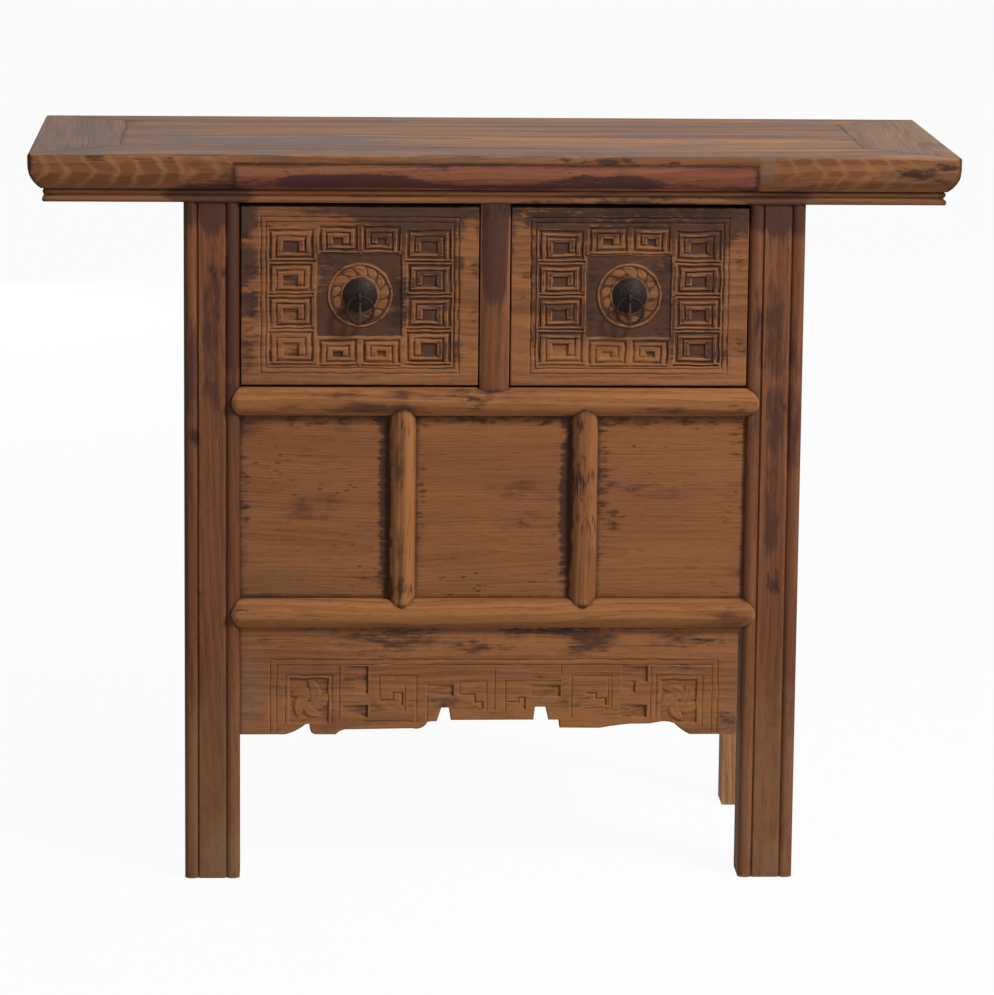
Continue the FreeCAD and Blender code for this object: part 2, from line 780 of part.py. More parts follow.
def make_divider(rail, notch):
    """The upright between the drawers, scribed over the middle rail."""
    front = "-leg_face - divider_proud"
    post = prism("divider_post", "XY", ("middle_rail_middle", "board_bottom"), [
        (("-half_divider", "-rail_back"),),
        (("-half_divider", front + " + divider_round"),),
        (("0", front), ("half_divider", front + " + divider_round")),
        (("half_divider", "-rail_back"),),
    ])
    scribed = cut("divider_scribed", post, [rail, notch])
    across = around("0", "half_divider")
    foot = bar("divider_foot", across, around("-(panel_front + panel_back) / 2", "stub_thickness"),
               ("middle_rail_top - stub_length", "middle_rail_top"))
    head = bar("divider_head", across, ("-moulding_back + leg_tenon_inset", "-rail_back"),
               ("board_bottom", "board_bottom + stub_length"))
    keep(fuse("divider_whole", [scribed, foot, head]), "drawer_divider")
    return foot, head


def make_stile(side, centre, rails):
    """A round-fronted upright whose ends lap over the rails above and below."""
    front = "-leg_face - stile_proud"
    left, right = around(centre, "stile_width")
    post = prism("stile_post_" + side, "XY", ("lower_rail_middle", "middle_rail_middle"), [
        ((left, front + " + stile_depth"),),
        ((left, front + " + stile_round"),),
        ((centre, front), (right, front + " + stile_round")),
        ((right, front + " + stile_depth"),),
    ])
    stub = bar("stile_stub_" + side, around(centre, "half_divider"),
               ("-panel_back", "-panel_back + stub_thickness"),
               ("lower_rail_top - stub_length", "middle_rail_bottom + stub_length"))
    scribed = cut("stile_scribed_" + side, post, rails)
    return fuse("stile_whole_" + side, [scribed, stub]), stub


def make_front_panels(legs):
    """The three fixed panels of the compartment, let into legs, stiles and rails."""
    depth = ("-panel_front", "-panel_back")
    height = ("lower_rail_top - panel_reach", "middle_rail_bottom + panel_reach")
    near = "stile_pitch / 2 - stile_width / 2 + panel_reach"
    far = "stile_pitch / 2 + stile_width / 2 - panel_reach"
    outer = "front_leg_in + panel_reach"
    spans = {
        "left": ("-(%s)" % outer, "-(%s)" % far),
        "centre": ("-(%s)" % near, near),
        "right": (far, outer),
    }
    panels = {}
    for side, span in spans.items():
        panels[side] = keep(bar("front_panel_bar_" + side, span, depth, height),
                            "front_panel_" + side)
    for side in ("left", "right"):
        legs["front", side].takes.append(panels[side])
    return panels


def make_apron():
    """The carved apron under the lower rail, with its cut lower edge and top tongue."""
    length = "(apron_left + apron_right)"
    outline = []
    for entry in APRON_EDGE_SHARES:
        outline.append(tuple(("-apron_left + %s * %s" % (length, along),
                              "apron_bottom + apron_cut * %s" % up) for along, up in entry))
    outline += straight(("apron_right", "lower_rail_bottom"), ("-apron_left", "lower_rail_bottom"))
    board = prism("apron_board", "XZ", ("-apron_face", "-apron_back"), outline)
    tongue = bar("apron_tongue_bar", ("-apron_left", "apron_right"),
                 around("-(apron_face + apron_back) / 2", "apron_tongue_thickness"),
                 ("lower_rail_bottom", "lower_rail_bottom + apron_tongue"))
    carved = cut("apron_carved", board, [apron_carving()])
    keep(fuse("apron_whole", [carved, tongue]), "carved_apron")
    return tongue


def make_front(legs, notch, floor, runner_tenons):
    """Build the front between the legs: rails, divider, stiles, panels and apron."""
    rails = {level: make_front_rail(level, legs) for level in ("middle", "lower")}
    foot, head = make_divider(rails["middle"], notch)
    panels = make_front_panels(legs)
    tongue = make_apron()
    stubs = []
    for side, centre in (("left", "-stile_pitch / 2"), ("right", "stile_pitch / 2")):
        stile, stub = make_stile(side, centre, list(rails.values()))
        keep(cut("stile_cut_" + side, stile, [panels[side], panels["centre"]]),
             "front_stile_" + side)
        stubs.append(stub)
    panel_list = list(panels.values())
    keep(cut("middle_rail_cut", rails["middle"], [foot] + stubs + panel_list + runner_tenons),
         "front_rail_middle")
    keep(cut("lower_rail_cut", rails["lower"], [tongue, floor] + stubs + panel_list),
         "front_rail_lower")
    return head


def make_sides(legs, floor):
    """The two ends: three rails and two panels between each front and back leg."""
    levels = {
        "upper": ("upper_rail_bottom", "board_bottom"),
        "middle": ("middle_rail_bottom", "middle_rail_top"),
        "lower": ("lower_rail_bottom", "lower_rail_top"),
    }
    blanks = {}
    for level, (low, high) in levels.items():
        rail = prism("side_bar_" + level, "XZ", ("-front_leg_back", "back_leg_front"),
                     round_front(low, high, "-side_out", "side_rail_round", "-side_in"))
        tenon = bar("side_tenon_" + level, around("-side_centre", "side_tenon_thickness"),
                    ("-front_leg_back - tenon_length", "back_leg_front + tenon_length"),
                    ("%s + (%s - %s) * %s" % (low, high, low, 1 / 2 - TENON_SHARE),
                     "%s - (%s - %s) * %s" % (high, high, low, 1 / 2 - TENON_SHARE)))
        blanks[level] = fuse("side_blank_" + level, [rail, tenon])
    depth = ("-front_leg_back - panel_reach", "back_leg_front + panel_reach")
    across = around("-side_centre", "panel_thickness")
    panels = {
        "upper": bar("side_upper_bar", across, depth,
                     ("middle_rail_top - panel_reach", "upper_rail_bottom + panel_reach")),
        "lower": bar("side_lower_bar", across, depth,
                     ("lower_rail_top - panel_reach", "middle_rail_bottom + panel_reach")),
    }
    tools = {
        "upper": [panels["upper"]],
        "middle": [panels["upper"], panels["lower"]],
        "lower": [panels["lower"], floor],
    }
    for level, blank in blanks.items():
        left = keep(cut("side_cut_" + level, blank, tools[level]), "side_rail_%s_left" % level)
        keep(mirrored("side_twin_" + level, left), "side_rail_%s_right" % level)
    for level, panel in panels.items():
        keep(panel, "side_panel_%s_left" % level)
        keep(mirrored("side_panel_twin_" + level, panel), "side_panel_%s_right" % level)
    for piece in list(blanks.values()) + list(panels.values()):
        twin = mirrored(piece.Name + "_twin", piece)
        for place in ("front", "back"):
            legs[place, "left"].takes.append(piece)
            legs[place, "right"].takes.append(twin)


def make_back(legs, notch, floor, runner_tenons):
    """The back: three rails and two panels between the back legs."""
    depth = ("back_rail_front", "back_rail_face")
    levels = {
        "upper": ("upper_rail_bottom", "board_bottom"),
        "middle": ("back_middle_rail_bottom", "back_middle_rail_top"),
        "lower": ("lower_rail_bottom", "lower_rail_top"),
    }
    ends = ("-back_leg_in - panel_reach", "back_leg_in + panel_reach")
    thickness = ("back_panel_front", "back_panel_face")
    panels = {
        "upper": bar("back_upper_bar", ends, thickness,
                     ("back_middle_rail_top - panel_reach", "upper_rail_bottom + panel_reach")),
        "lower": bar("back_lower_bar", ends, thickness,
                     ("lower_rail_top - panel_reach", "back_middle_rail_bottom + panel_reach")),
    }
    tools = {
        "upper": [panels["upper"], notch],
        "middle": [panels["upper"], panels["lower"]] + runner_tenons,
        "lower": [panels["lower"], floor],
    }
    takes = list(panels.values())
    for level, (low, high) in levels.items():
        rail = bar("back_bar_" + level, ("-back_leg_in", "back_leg_in"), depth, (low, high))
        tenon = bar("back_tenon_" + level,
                    ("-back_leg_in - tenon_thickness", "back_leg_in + tenon_thickness"),
                    around("(back_rail_front + back_rail_face) / 2", "tenon_thickness"),
                    (low + " + panel_reach", high + " - panel_reach"))
        blank = fuse("back_blank_" + level, [rail, tenon])
        keep(cut("back_cut_" + level, blank, tools[level]), "back_rail_" + level)
        takes.append(blank)
    for level, panel in panels.items():
        keep(panel, "back_panel_" + level)
    for side in ("left", "right"):
        legs["back", side].takes += takes


def make_runners(legs):
    """The bars that the drawers run on, with a guide beside each drawer."""
    length = ("-rail_back", "back_rail_front")
    tenon_length = ("-rail_back - stub_length", "back_rail_front + stub_length")
    tenon_height = ("runner_bottom", "runner_bottom + runner_thickness / 2")
    seat = "-(front_leg_in - drawer_side_gap - runner_seat)"
    side = prism("side_runner_bar", "XZ", length, straight(
        ("-side_in", "runner_bottom"), (seat, "runner_bottom"), (seat, "middle_rail_top"),
        ("-front_leg_in", "middle_rail_top"), ("-front_leg_in", "guide_top"),
        ("-side_in", "guide_top")))
    side_tenon = bar("side_runner_tenon", ("-front_leg_in", seat), tenon_length, tenon_height)
    whole = fuse("side_runner_whole", [side, side_tenon])
    left = keep(cut("side_runner_cut", whole, [legs["front", "left"].post,
                                               legs["back", "left"].post]),
                "drawer_runner_left")
    keep(mirrored("side_runner_twin", left), "drawer_runner_right")
    rib = "(half_divider - guide_gap)"
    wide = "(half_divider + drawer_side_gap + runner_seat)"
    centre = prism("centre_runner_bar", "XZ", length, straight(
        ("-" + wide, "runner_bottom"), (wide, "runner_bottom"), (wide, "middle_rail_top"),
        (rib, "middle_rail_top"), (rib, "guide_top"), ("-" + rib, "guide_top"),
        ("-" + rib, "middle_rail_top"), ("-" + wide, "middle_rail_top")))
    centre_tenon = bar("centre_runner_tenon", ("-half_divider", "half_divider"),
                       tenon_length, tenon_height)
    keep(fuse("centre_runner_whole", [centre, centre_tenon]), "drawer_runner_centre")
    return [side_tenon, mirrored("side_runner_tenon_twin", side_tenon), centre_tenon]


def make_floor(legs):
    """The floor of the closed compartment, grooved into the rails round it."""
    reach = "panel_reach"
    plate = bar("floor_plate", ("-side_in - " + reach, "side_in + " + reach),
                ("-rail_back - " + reach, "back_rail_front + " + reach),
                ("floor_top - floor_thickness", "floor_top"))
    posts = [leg.post for leg in legs.values()]
    return keep(cut("floor_cut", plate, posts), "compartment_floor")


def block_shape(left, bottom, right, top, front, depth):
    """A block that cuts into a front face to a given depth."""
    corner = FreeCAD.Vector(left, front - depth, bottom)
    return Part.makeBox(right - left, 2 * depth, top - bottom, corner)


def spiral_path(width, height, margin, pitch):
    """Corners of a square spiral's centre line, from its outside to its middle."""
    left, bottom, right, top = margin, margin, width - margin, height - margin
    path = [(left, bottom)]
    while right - left > pitch and top - bottom > pitch:
        path += [(left, top), (right, top), (right, bottom)]
        left += pitch
        path.append((left, bottom))
        top -= pitch
        right -= pitch
        bottom += pitch
    return path[:-1]


def groove_shape(path, front, groove, depth):
    """A solid that cuts a square-cornered groove along a path on a front face."""
    half = groove / 2
    steps = []
    for (x_one, z_one), (x_two, z_two) in zip(path, path[1:]):
        length = math.hypot(x_two - x_one, z_two - z_one)
        steps.append(((x_two - x_one) / length, (z_two - z_one) / length))
    upper = []
    lower = []
    for number, (x, z) in enumerate(path):
        before = steps[max(number - 1, 0)]
        after = steps[min(number, len(steps) - 1)]
        end = half if number == len(steps) else -half if number == 0 else 0
        turns = [after] if end else [before, after]
        out_x = sum(-step[1] for step in turns) * half
        out_z = sum(step[0] for step in turns) * half
        middle = FreeCAD.Vector(x + before[0] * end, front - depth, z + before[1] * end)
        upper.append(middle + FreeCAD.Vector(out_x, 0, out_z))
        lower.append(middle - FreeCAD.Vector(out_x, 0, out_z))
    loop = upper + lower[::-1]
    return Part.Face(Part.makePolygon(loop + loop[:1])).extrude(FreeCAD.Vector(0, 2 * depth, 0))


def frame_shape(left, bottom, right, top, front, groove, depth):
    """A solid that cuts a groove along the four sides of a rectangle."""
    outer = block_shape(left, bottom, right, top, front, depth)
    return outer.cut(block_shape(left + groove, bottom + groove, right - groove, top - groove,
                                 front, 2 * depth))


class CarvedFace:
    """A front face that carving is laid out on in shares of its width and height."""

    def __init__(self, left, bottom, width, height, front):
        self.left = left
        self.bottom = bottom
        self.width = width
        self.height = height
        self.front = front
        self.depth = size("carving_depth")
        self.groove = size("groove_width")
        self.shapes = []

    def box(self, shares):
        """Left, bottom, right and top of a box given in shares of the face."""
        low_x, low_z, high_x, high_z = shares
        return (self.left + low_x * self.width, self.bottom + low_z * self.height,
                self.left + high_x * self.width, self.bottom + high_z * self.height)

    def spirals(self, table):
        """Cut a square spiral groove into each box of a table."""
        for *shares, turned in table:
            left, bottom, right, top = self.box(shares)
            path = spiral_path(right - left, top - bottom, size("fret_margin"),
                               size("fret_pitch"))
            path = [(right - x if turned else left + x, bottom + z) for x, z in path]
            self.shapes.append(groove_shape(path, self.front, self.groove, self.depth))

    def tool(self, name):
        """Hold all the cutting shapes as one object."""
        item = document.addObject("Part::Feature", name)
        item.Shape = Part.makeCompound(self.shapes)
        return item


def drawer_carving(side, centre):
    """The carving of a drawer front: border, twelve key spirals and a sunk medallion field."""
    half = size("drawer_half")
    bottom = size("drawer_front_bottom")
    top = size("drawer_front_top")
    middle = size(centre)
    face = CarvedFace(middle - half, bottom, 2 * half, top - bottom, -size("drawer_face"))
    for inset in (0, size("border_pitch")):
        face.shapes.append(frame_shape(
            face.left + size("border_side") + inset, bottom + size("border_bottom") + inset,
            middle + half - size("border_side") - inset, top - size("border_top") - inset,
            face.front, face.groove, face.depth / 2))
    face.spirals(DRAWER_FRET_SHARES)
    field = block_shape(*face.box(MEDALLION_SHARES), face.front, face.depth)
    hub = FreeCAD.Vector(middle, face.front - 2 * face.depth, size("pull_height"))
    inward = FreeCAD.Vector(0, 1, 0)
    wreath = Part.makeCylinder(size("wreath_outer_radius"), 4 * face.depth, hub, inward)
    inner = size("wreath_inner_radius")
    ring = Part.makeCylinder(inner + face.groove, 3 * face.depth, hub, inward)
    face.shapes.append(field.cut(wreath))
    face.shapes.append(ring.cut(Part.makeCylinder(inner, 3 * face.depth, hub, inward)))
    return face.tool("carving_" + side)


def apron_carving():
    """The carving of the apron: a double line, key spirals, pits and leaf squares."""
    left = -size("apron_left")
    length = size("apron_left + apron_right")
    bottom = size("apron_bottom")
    height = size("apron_height")
    face = CarvedFace(left, bottom, length, height, -size("apron_face"))
    face.spirals(APRON_FRET_SHARES)
    low = bottom + size("apron_cut") / 4
    for inset in (0, size("apron_line_pitch")):
        line_left = left + size("apron_margin_left") + inset
        line_right = left + length - size("apron_margin_right") - inset
        line_top = bottom + height - size("apron_margin_top") - inset
        path = [(line_left, low), (line_left, line_top), (line_right, line_top),
                (line_right, low)]
        face.shapes.append(groove_shape(path, face.front, face.groove / 2, face.depth / 2))
    for shares in APRON_PIT_SHARES:
        face.shapes.append(block_shape(*face.box(shares), face.front, size("pit_depth")))
    for shares in APRON_LEAF_SHARES:
        face.shapes.append(frame_shape(*face.box(shares), face.front, face.groove / 2,
                                       face.depth))
    return face.tool("carving_apron")


def drawer_side_outline():
    """Side view of a drawer side, with dovetails that enter the front and the back."""
    front_root = "-drawer_inner_face"
    front_end = front_root + " - tail_length"
    back_root = "drawer_back_front"
    room = "(drawer_side_top - drawer_base_top) / %d" % TAIL_COUNT
    rising = []
    falling = []
    for number in range(TAIL_COUNT):
        low = "drawer_base_top + %s * %s" % (room, number + TAIL_START_SHARE)
        high = "drawer_base_top + %s * %s" % (room, number + 1 - TAIL_START_SHARE)
        rising += [(front_root, low), (front_end, low + " - tail_flare"),
                   (front_end, high + " + tail_flare"), (front_root, high)]
        falling = [(back_root, high), ("drawer_end", high + " + tail_flare"),
                   ("drawer_end", low + " - tail_flare"), (back_root, low)] + falling
    outline = [(front_root, "drawer_run")] + rising
    outline += [(front_root, "drawer_side_top"), (back_root, "drawer_side_top")] + falling
    outline += [(back_root, "drawer_base_top"), ("drawer_end", "drawer_base_top"),
                ("drawer_end", "drawer_run")]
    return straight(*outline)


def make_drawer(side, centre):
    """One drawer: carved front, two dovetailed sides, back and base."""
    blank = bar("drawer_front_bar_" + side, around(centre, "drawer_half * 2"),
                ("-drawer_face", "-drawer_inner_face"),
                ("drawer_front_bottom", "drawer_front_top"))
    base = bar("drawer_base_bar_" + side,
               around(centre, "(drawer_side_in + drawer_base_reach) * 2"),
               ("-drawer_inner_face - drawer_base_reach", "drawer_end"),
               ("drawer_base_bottom", "drawer_base_top"))
    spans = {
        "left": (centre + " - drawer_side_out", centre + " - drawer_side_in"),
        "right": (centre + " + drawer_side_in", centre + " + drawer_side_out"),
    }
    walls = {}
    for hand, span in spans.items():
        walls[hand] = prism("drawer_wall_%s_%s" % (hand, side), "YZ", span,
                            drawer_side_outline())
        keep(cut("drawer_wall_cut_%s_%s" % (hand, side), walls[hand], [base]),
             "drawer_%s_side_%s" % (side, hand))
    back = bar("drawer_back_bar_" + side, around(centre, "drawer_side_out * 2"),
               ("drawer_back_front", "drawer_end"), ("drawer_base_top", "drawer_side_top"))
    hole = bar("post_hole_" + side, around(centre, "post_width"),
               ("-drawer_face", "-drawer_inner_face"), around("pull_height", "post_width"))
    keep(cut("drawer_front_cut_" + side, blank,
             [drawer_carving(side, centre), base, hole] + list(walls.values())),
         "drawer_%s_front" % side)
    keep(cut("drawer_back_cut_" + side, back, list(walls.values())), "drawer_%s_back" % side)
    keep(base, "drawer_%s_base" % side)


def make_pull_plate(side, centre):
    """The domed iron plate behind a ring pull."""
    middle = (centre, "-drawer_face - plate_rise + dome_radius", "pull_height")
    depth = ("-drawer_face - plate_rise", "-drawer_face")
    slab = bar("plate_slab_" + side, around(centre, "plate_radius * 2"), depth,
               around("pull_height", "plate_radius * 2"))
    dome = common("plate_dome_" + side, sphere("plate_ball_" + side, "dome_radius", middle), slab)
    hollow = sphere("plate_hollow_" + side, "dome_radius - plate_wall", middle)
    bore = cylinder("plate_bore_bar_" + side, "Y", "plate_bore", depth, (centre, "pull_height"))
    keep(cut("plate_cut_" + side, dome, [hollow, bore]), "pull_%s_plate" % side)


def make_pull_post(side, centre):
    """The split iron post: an eye in front, a square shank and two tails bent over inside."""
    across = around(centre, "post_width")
    inside = "-drawer_inner_face"
    shank = bar("post_shank_" + side, across,
                ("-eye_line + eye_radius * %s" % SHANK_START_SHARE,
                 inside + " + post_tail_thickness"),
                around("pull_height", "post_width"))
    tails = bar("post_tails_" + side, across, (inside, inside + " + post_tail_thickness"),
                around("pull_height", "post_tail * 2"))
    span = around(centre, "eye_width")
    hub = ("-eye_line", "pull_height")
    eye = cylinder("post_eye_" + side, "X", "eye_radius", span, hub)
    hole = cylinder("post_eye_hole_" + side, "X", "eye_bore", span, hub)
    whole = fuse("post_whole_" + side, [shank, tails, eye])
    keep(cut("post_cut_" + side, whole, [hole]), "pull_%s_post" % side)


def make_pull_ring(side, centre):
    """The hanging iron ring with the drop that stands up inside it."""
    ring = document.addObject("Part::Torus", "ring_wire_" + side)
    ring.Placement = FreeCAD.Placement(FreeCAD.Vector(0, 0, 0),
                                       FreeCAD.Rotation(FreeCAD.Vector(1, 0, 0), 90))
    bind(ring, "Radius1", "ring_radius")
    bind(ring, "Radius2", "ring_wire")
    for letter, text in zip("xyz", (centre, "-eye_line", "pull_height - ring_radius")):
        bind(ring, "Placement.Base." + letter, text)
    head_low, head_high = around(centre, "drop_head_width")
    foot_low, foot_high = around(centre, "drop_foot_width")
    drop = prism("ring_drop_" + side, "XZ", around("-eye_line", "drop_thickness"), straight(
        (foot_low, "pull_height - ring_radius * 2"), (foot_high, "pull_height - ring_radius * 2"),
        (head_high, "pull_height - eye_radius - drop_gap"),
        (head_low, "pull_height - eye_radius - drop_gap")))
    keep(fuse("ring_whole_" + side, [ring, drop]), "pull_%s_ring" % side)


def check_document():
    """Stop if any object failed, any shape is unsound or any cut took nothing away."""
    for item in document.Objects:
        if "Invalid" in item.State or "Error" in item.State:
            raise RuntimeError("%s did not compute" % item.Label)
        shape = getattr(item, "Shape", None)
        if shape is not None and (shape.isNull() or not shape.isValid()):
            raise RuntimeError("%s has an unsound shape" % item.Label)
    for item, base in cuts:
        if not item.Shape.Volume < base.Shape.Volume:
            raise RuntimeError("%s took nothing away" % item.Label)
    for name, item in nodes.items():
        if item.Label != name or len(item.Shape.Solids) != 1:
            raise RuntimeError("%s is not one solid of its own" % name)


def main():
    """Build every piece in the order in which the next one needs it, and write them all."""
    fill_sheet()
    legs = make_leg_posts()
    make_moulding()
    notches = make_notches()
    floor = make_floor(legs)
    runner_tenons = make_runners(legs)
    divider_head = make_front(legs, notches["front"], floor, runner_tenons)
    make_sides(legs, floor)
    make_back(legs, notches["back"], floor, runner_tenons)
    make_top(legs, divider_head)
    for leg in legs.values():
        leg.finish(notches[leg.place])
    for side, centre in HALF_DRAWER_WAYS.items():
        make_drawer(side, centre)
        make_pull_plate(side, centre)
        make_pull_post(side, centre)
        make_pull_ring(side, centre)
    document.recompute()
    check_document()
    os.makedirs("parts", exist_ok=True)
    for name, item in nodes.items():
        item.Shape.exportStep("parts/%s.step" % name)


main()
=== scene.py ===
"""Looks of a two-drawer coffer table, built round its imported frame."""

import json
import logging
import math
from dataclasses import dataclass, field, replace
from enum import Enum
from functools import partial, reduce

import bmesh
import bpy
import numpy as np
from mathutils import Euler, Matrix, Vector
from mathutils.bvhtree import BVHTree
from mathutils.kdtree import KDTree


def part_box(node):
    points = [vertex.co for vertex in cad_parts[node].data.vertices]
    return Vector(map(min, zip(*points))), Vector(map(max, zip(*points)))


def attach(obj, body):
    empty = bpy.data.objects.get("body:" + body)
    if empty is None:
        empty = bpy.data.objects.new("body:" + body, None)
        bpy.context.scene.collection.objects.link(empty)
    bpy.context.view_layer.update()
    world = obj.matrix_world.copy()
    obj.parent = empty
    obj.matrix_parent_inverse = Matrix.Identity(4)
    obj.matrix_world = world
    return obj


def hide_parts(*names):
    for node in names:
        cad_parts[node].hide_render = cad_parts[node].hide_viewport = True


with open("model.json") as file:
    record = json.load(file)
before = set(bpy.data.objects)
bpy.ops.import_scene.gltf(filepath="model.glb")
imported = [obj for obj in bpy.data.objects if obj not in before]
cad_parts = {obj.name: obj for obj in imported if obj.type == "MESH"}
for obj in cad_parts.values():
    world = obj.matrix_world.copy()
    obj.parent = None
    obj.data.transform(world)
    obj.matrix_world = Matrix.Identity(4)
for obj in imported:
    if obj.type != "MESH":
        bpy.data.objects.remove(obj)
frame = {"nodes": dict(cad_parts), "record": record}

log = logging.getLogger("altar_table")

Colour = tuple[float, float, float, float]
Segment = tuple[float, float, float, float]
Socket = bpy.types.NodeSocket
Value = Socket | float

MM = 0.001
SAME_PLACE = 0.02 * MM
WELDED = 0.001 * MM
FLAT_ANGLE = math.radians(0.6)
ARRIS_ANGLE = math.radians(28)
CREASE_ANGLE = math.radians(48)
WHITE = (1, 1, 1, 1)


def paint(*screen: int) -> Colour:
    """Turn a screen colour into linear light.

    Args:
        *screen: Red, green and blue, from 0 to 255.

    Returns:
        The linear colour with a full alpha.
    """
    shares = [value / 255 for value in screen]
    return (*(share / 12.92 if share <= 0.04045 else ((share + 0.055) / 1.055) ** 2.4
              for share in shares), 1.0)


def smooth(low: float, high: float, value: np.ndarray) -> np.ndarray:
    """Smooth step from 0 at low to 1 at high, where high may be the lower number.

    Args:
        low: Value that gives 0.
        high: Value that gives 1.
        value: The values to step.

    Returns:
        An array of values from 0 to 1.
    """
    share = np.clip((value - low) / (high - low), 0, 1)
    return share * share * (3 - 2 * share)


def ripple(x: np.ndarray, z: np.ndarray, size: float, seed: int) -> np.ndarray:
    """Uneven but smooth waves over a face, as a hand tool leaves them.

    Args:
        x: Places across the face.
        z: Places up the face.
        size: Length of a wave, in the same unit.
        seed: Picks the waves.

    Returns:
        An array of values from about -1 to 1.
    """
    chance = np.random.default_rng(seed)
    total = np.zeros_like(x)
    for _ in range(6):
        angle = chance.uniform(0, math.tau)
        length = size * chance.uniform(0.6, 1.6)
        phase = chance.uniform(0, math.tau)
        total += np.sin((x * math.cos(angle) + z * math.sin(angle)) * math.tau / length + phase)
    return total / 3


class Grain(Enum):
    """The axis that a piece's grain follows."""

    ACROSS = 0
    DEEP = 1
    UPRIGHT = 2

    @property
    def turn(self) -> Matrix:
        """Turns this axis to the grain's own X."""
        turns = {Grain.ACROSS: (0, 0, 0), Grain.DEEP: (0, 0, -90), Grain.UPRIGHT: (0, 90, 0)}
        return Euler([math.radians(a) for a in turns[self]]).to_matrix()


class Wiring:
    """Adds nodes to one tree and joins them."""

    def __init__(self, tree: bpy.types.NodeTree) -> None:
        """Keep the tree."""
        self.tree = tree

    def add(self, kind: str, inputs: dict | None = None, **settings) -> bpy.types.Node:
        """Add a node.

        Args:
            kind: The node's type name.
            inputs: Values or sockets for its inputs, by name or number.
            **settings: Properties of the node itself.

        Returns:
            The new node.
        """
        node = self.tree.nodes.new(kind)
        for name, value in settings.items():
            setattr(node, name, value)
        return self.feed(node, inputs or {})

    def feed(self, node: bpy.types.Node, inputs: dict) -> bpy.types.Node:
        """Set or link a node's inputs.

        Args:
            node: The node.
            inputs: Values or sockets for its inputs, by name or number.

        Returns:
            The same node.
        """
        for key, value in inputs.items():
            if isinstance(value, Socket):
                self.tree.links.new(value, node.inputs[key])
            else:
                node.inputs[key].default_value = value
        return node

    def out(self, kind: str, inputs: dict | None = None, **settings) -> Socket:
        """Add a node and return its first output."""
        return self.add(kind, inputs, **settings).outputs[0]

    def math(self, operation: str, first: Value, second: Value = 0.0) -> Socket:
        """Add a Math node and return its output."""
        return self.out("ShaderNodeMath", {0: first, 1: second}, operation=operation)

    def total(self, *terms: Value | tuple[Socket, Value]) -> Socket:
        """Add up values, some of them weighed.

        Args:
            *terms: Values, or pairs of a value and its weight.

        Returns:
            The sum.
        """
        parts = [self.math("MULTIPLY", *term) if isinstance(term, tuple) else term
                 for term in terms]
        return reduce(partial(self.math, "ADD"), parts)

    def vector(self, operation: str, first: Socket, second: Socket | tuple,
               key: int | str = 1) -> Socket:
        """Add a Vector Math node, with its second input at a number or a name."""
        return self.out("ShaderNodeVectorMath", {0: first, key: second}, operation=operation)

    def step(self, value: Socket, low: float, high: float) -> Socket:
        """Add a smooth step from 0 at low to 1 at high."""
        return self.out("ShaderNodeMapRange", {"Value": value, "From Min": low, "From Max": high},
                        interpolation_type="SMOOTHSTEP")

    def spread(self, value: Socket, low: float, high: float) -> Socket:
        """Map 0 to 1 onto low to high."""
        return self.out("ShaderNodeMapRange", {"Value": value, "To Min": low, "To Max": high})

    def layers(self, colour: Socket, *coats: tuple[Socket, float, Colour]) -> Socket:
        """Lay colours over one another.

        Args:
            colour: The ground.
            *coats: Where each coat lies, how fully it covers there, and its colour.

        Returns:
            The colour seen.
        """
        for mask, cover, coat in coats:
            colour = self.mix(self.math("MULTIPLY", mask, cover), colour, coat)
        return colour

    def mix(self, share: Socket, first: Socket | Colour, second: Colour) -> Socket:
        """Mix two colours by a share and return the result."""
        return self.add("ShaderNodeMix", {0: share, 6: first, 7: second},
                        data_type="RGBA").outputs[2]

    def noise(self, vector: Socket, scale: float, detail: float = 2.0, rough: float = 0.5,
              output: str = "Fac") -> Socket:
        """Add a noise texture and return its mask or its colour."""
        return self.add("ShaderNodeTexNoise", {
            "Vector": vector, "Scale": scale, "Detail": detail, "Roughness": rough
        }).outputs[output]

    def grained(self, place: Socket, along: float, across: float, detail: float,
                rough: float = 0.5, output: str = "Fac") -> Socket:
        """Add a noise texture that is drawn out along the grain.

        Args:
            place: Where it is read, with X along the grain.
            along: Its scale along the grain.
            across: Its scale across the grain.
            detail: How many finer layers it has.
            rough: How strong they are.
            output: Its mask or its colour.

        Returns:
            The output.
        """
        drawn = self.vector("MULTIPLY", place, (along, across, across))
        return self.noise(drawn, 1.0, detail, rough, output)

    def bump(self, height: Socket, strength: float, deep: float = 0.6 * MM) -> Socket:
        """Add a Bump node and return its normal."""
        return self.out("ShaderNodeBump", {
            "Height": height, "Distance": deep, "Strength": strength})

    def attribute(self, name: str, output: str = "Fac") -> Socket:
        """Read one of the piece's own attributes."""
        return self.add("ShaderNodeAttribute", attribute_name=name).outputs[output]


class Effect(Enum):
    """The effects that several finishes share, each a node group."""

    FIGURE = "elm_figure"
    AGEING = "wear_grime_and_shade"
    SPECKS = "dark_specks"
    ARCHES = "flame_arches"


class Trace(Enum):
    """What age has left at a place, and the painted shadow and shade of some marks, each one an
    attribute of the wooden pieces.
    """

    # Some stain marks are painted shadows and some lacquer marks painted shade; the rest are
    # traces of age.
    STAIN_AND_SHADOW = "stain_and_shadow"
    LACQUER_AND_SHADE = "kept"
    GREY = "grey"
    ARCH = "arch"


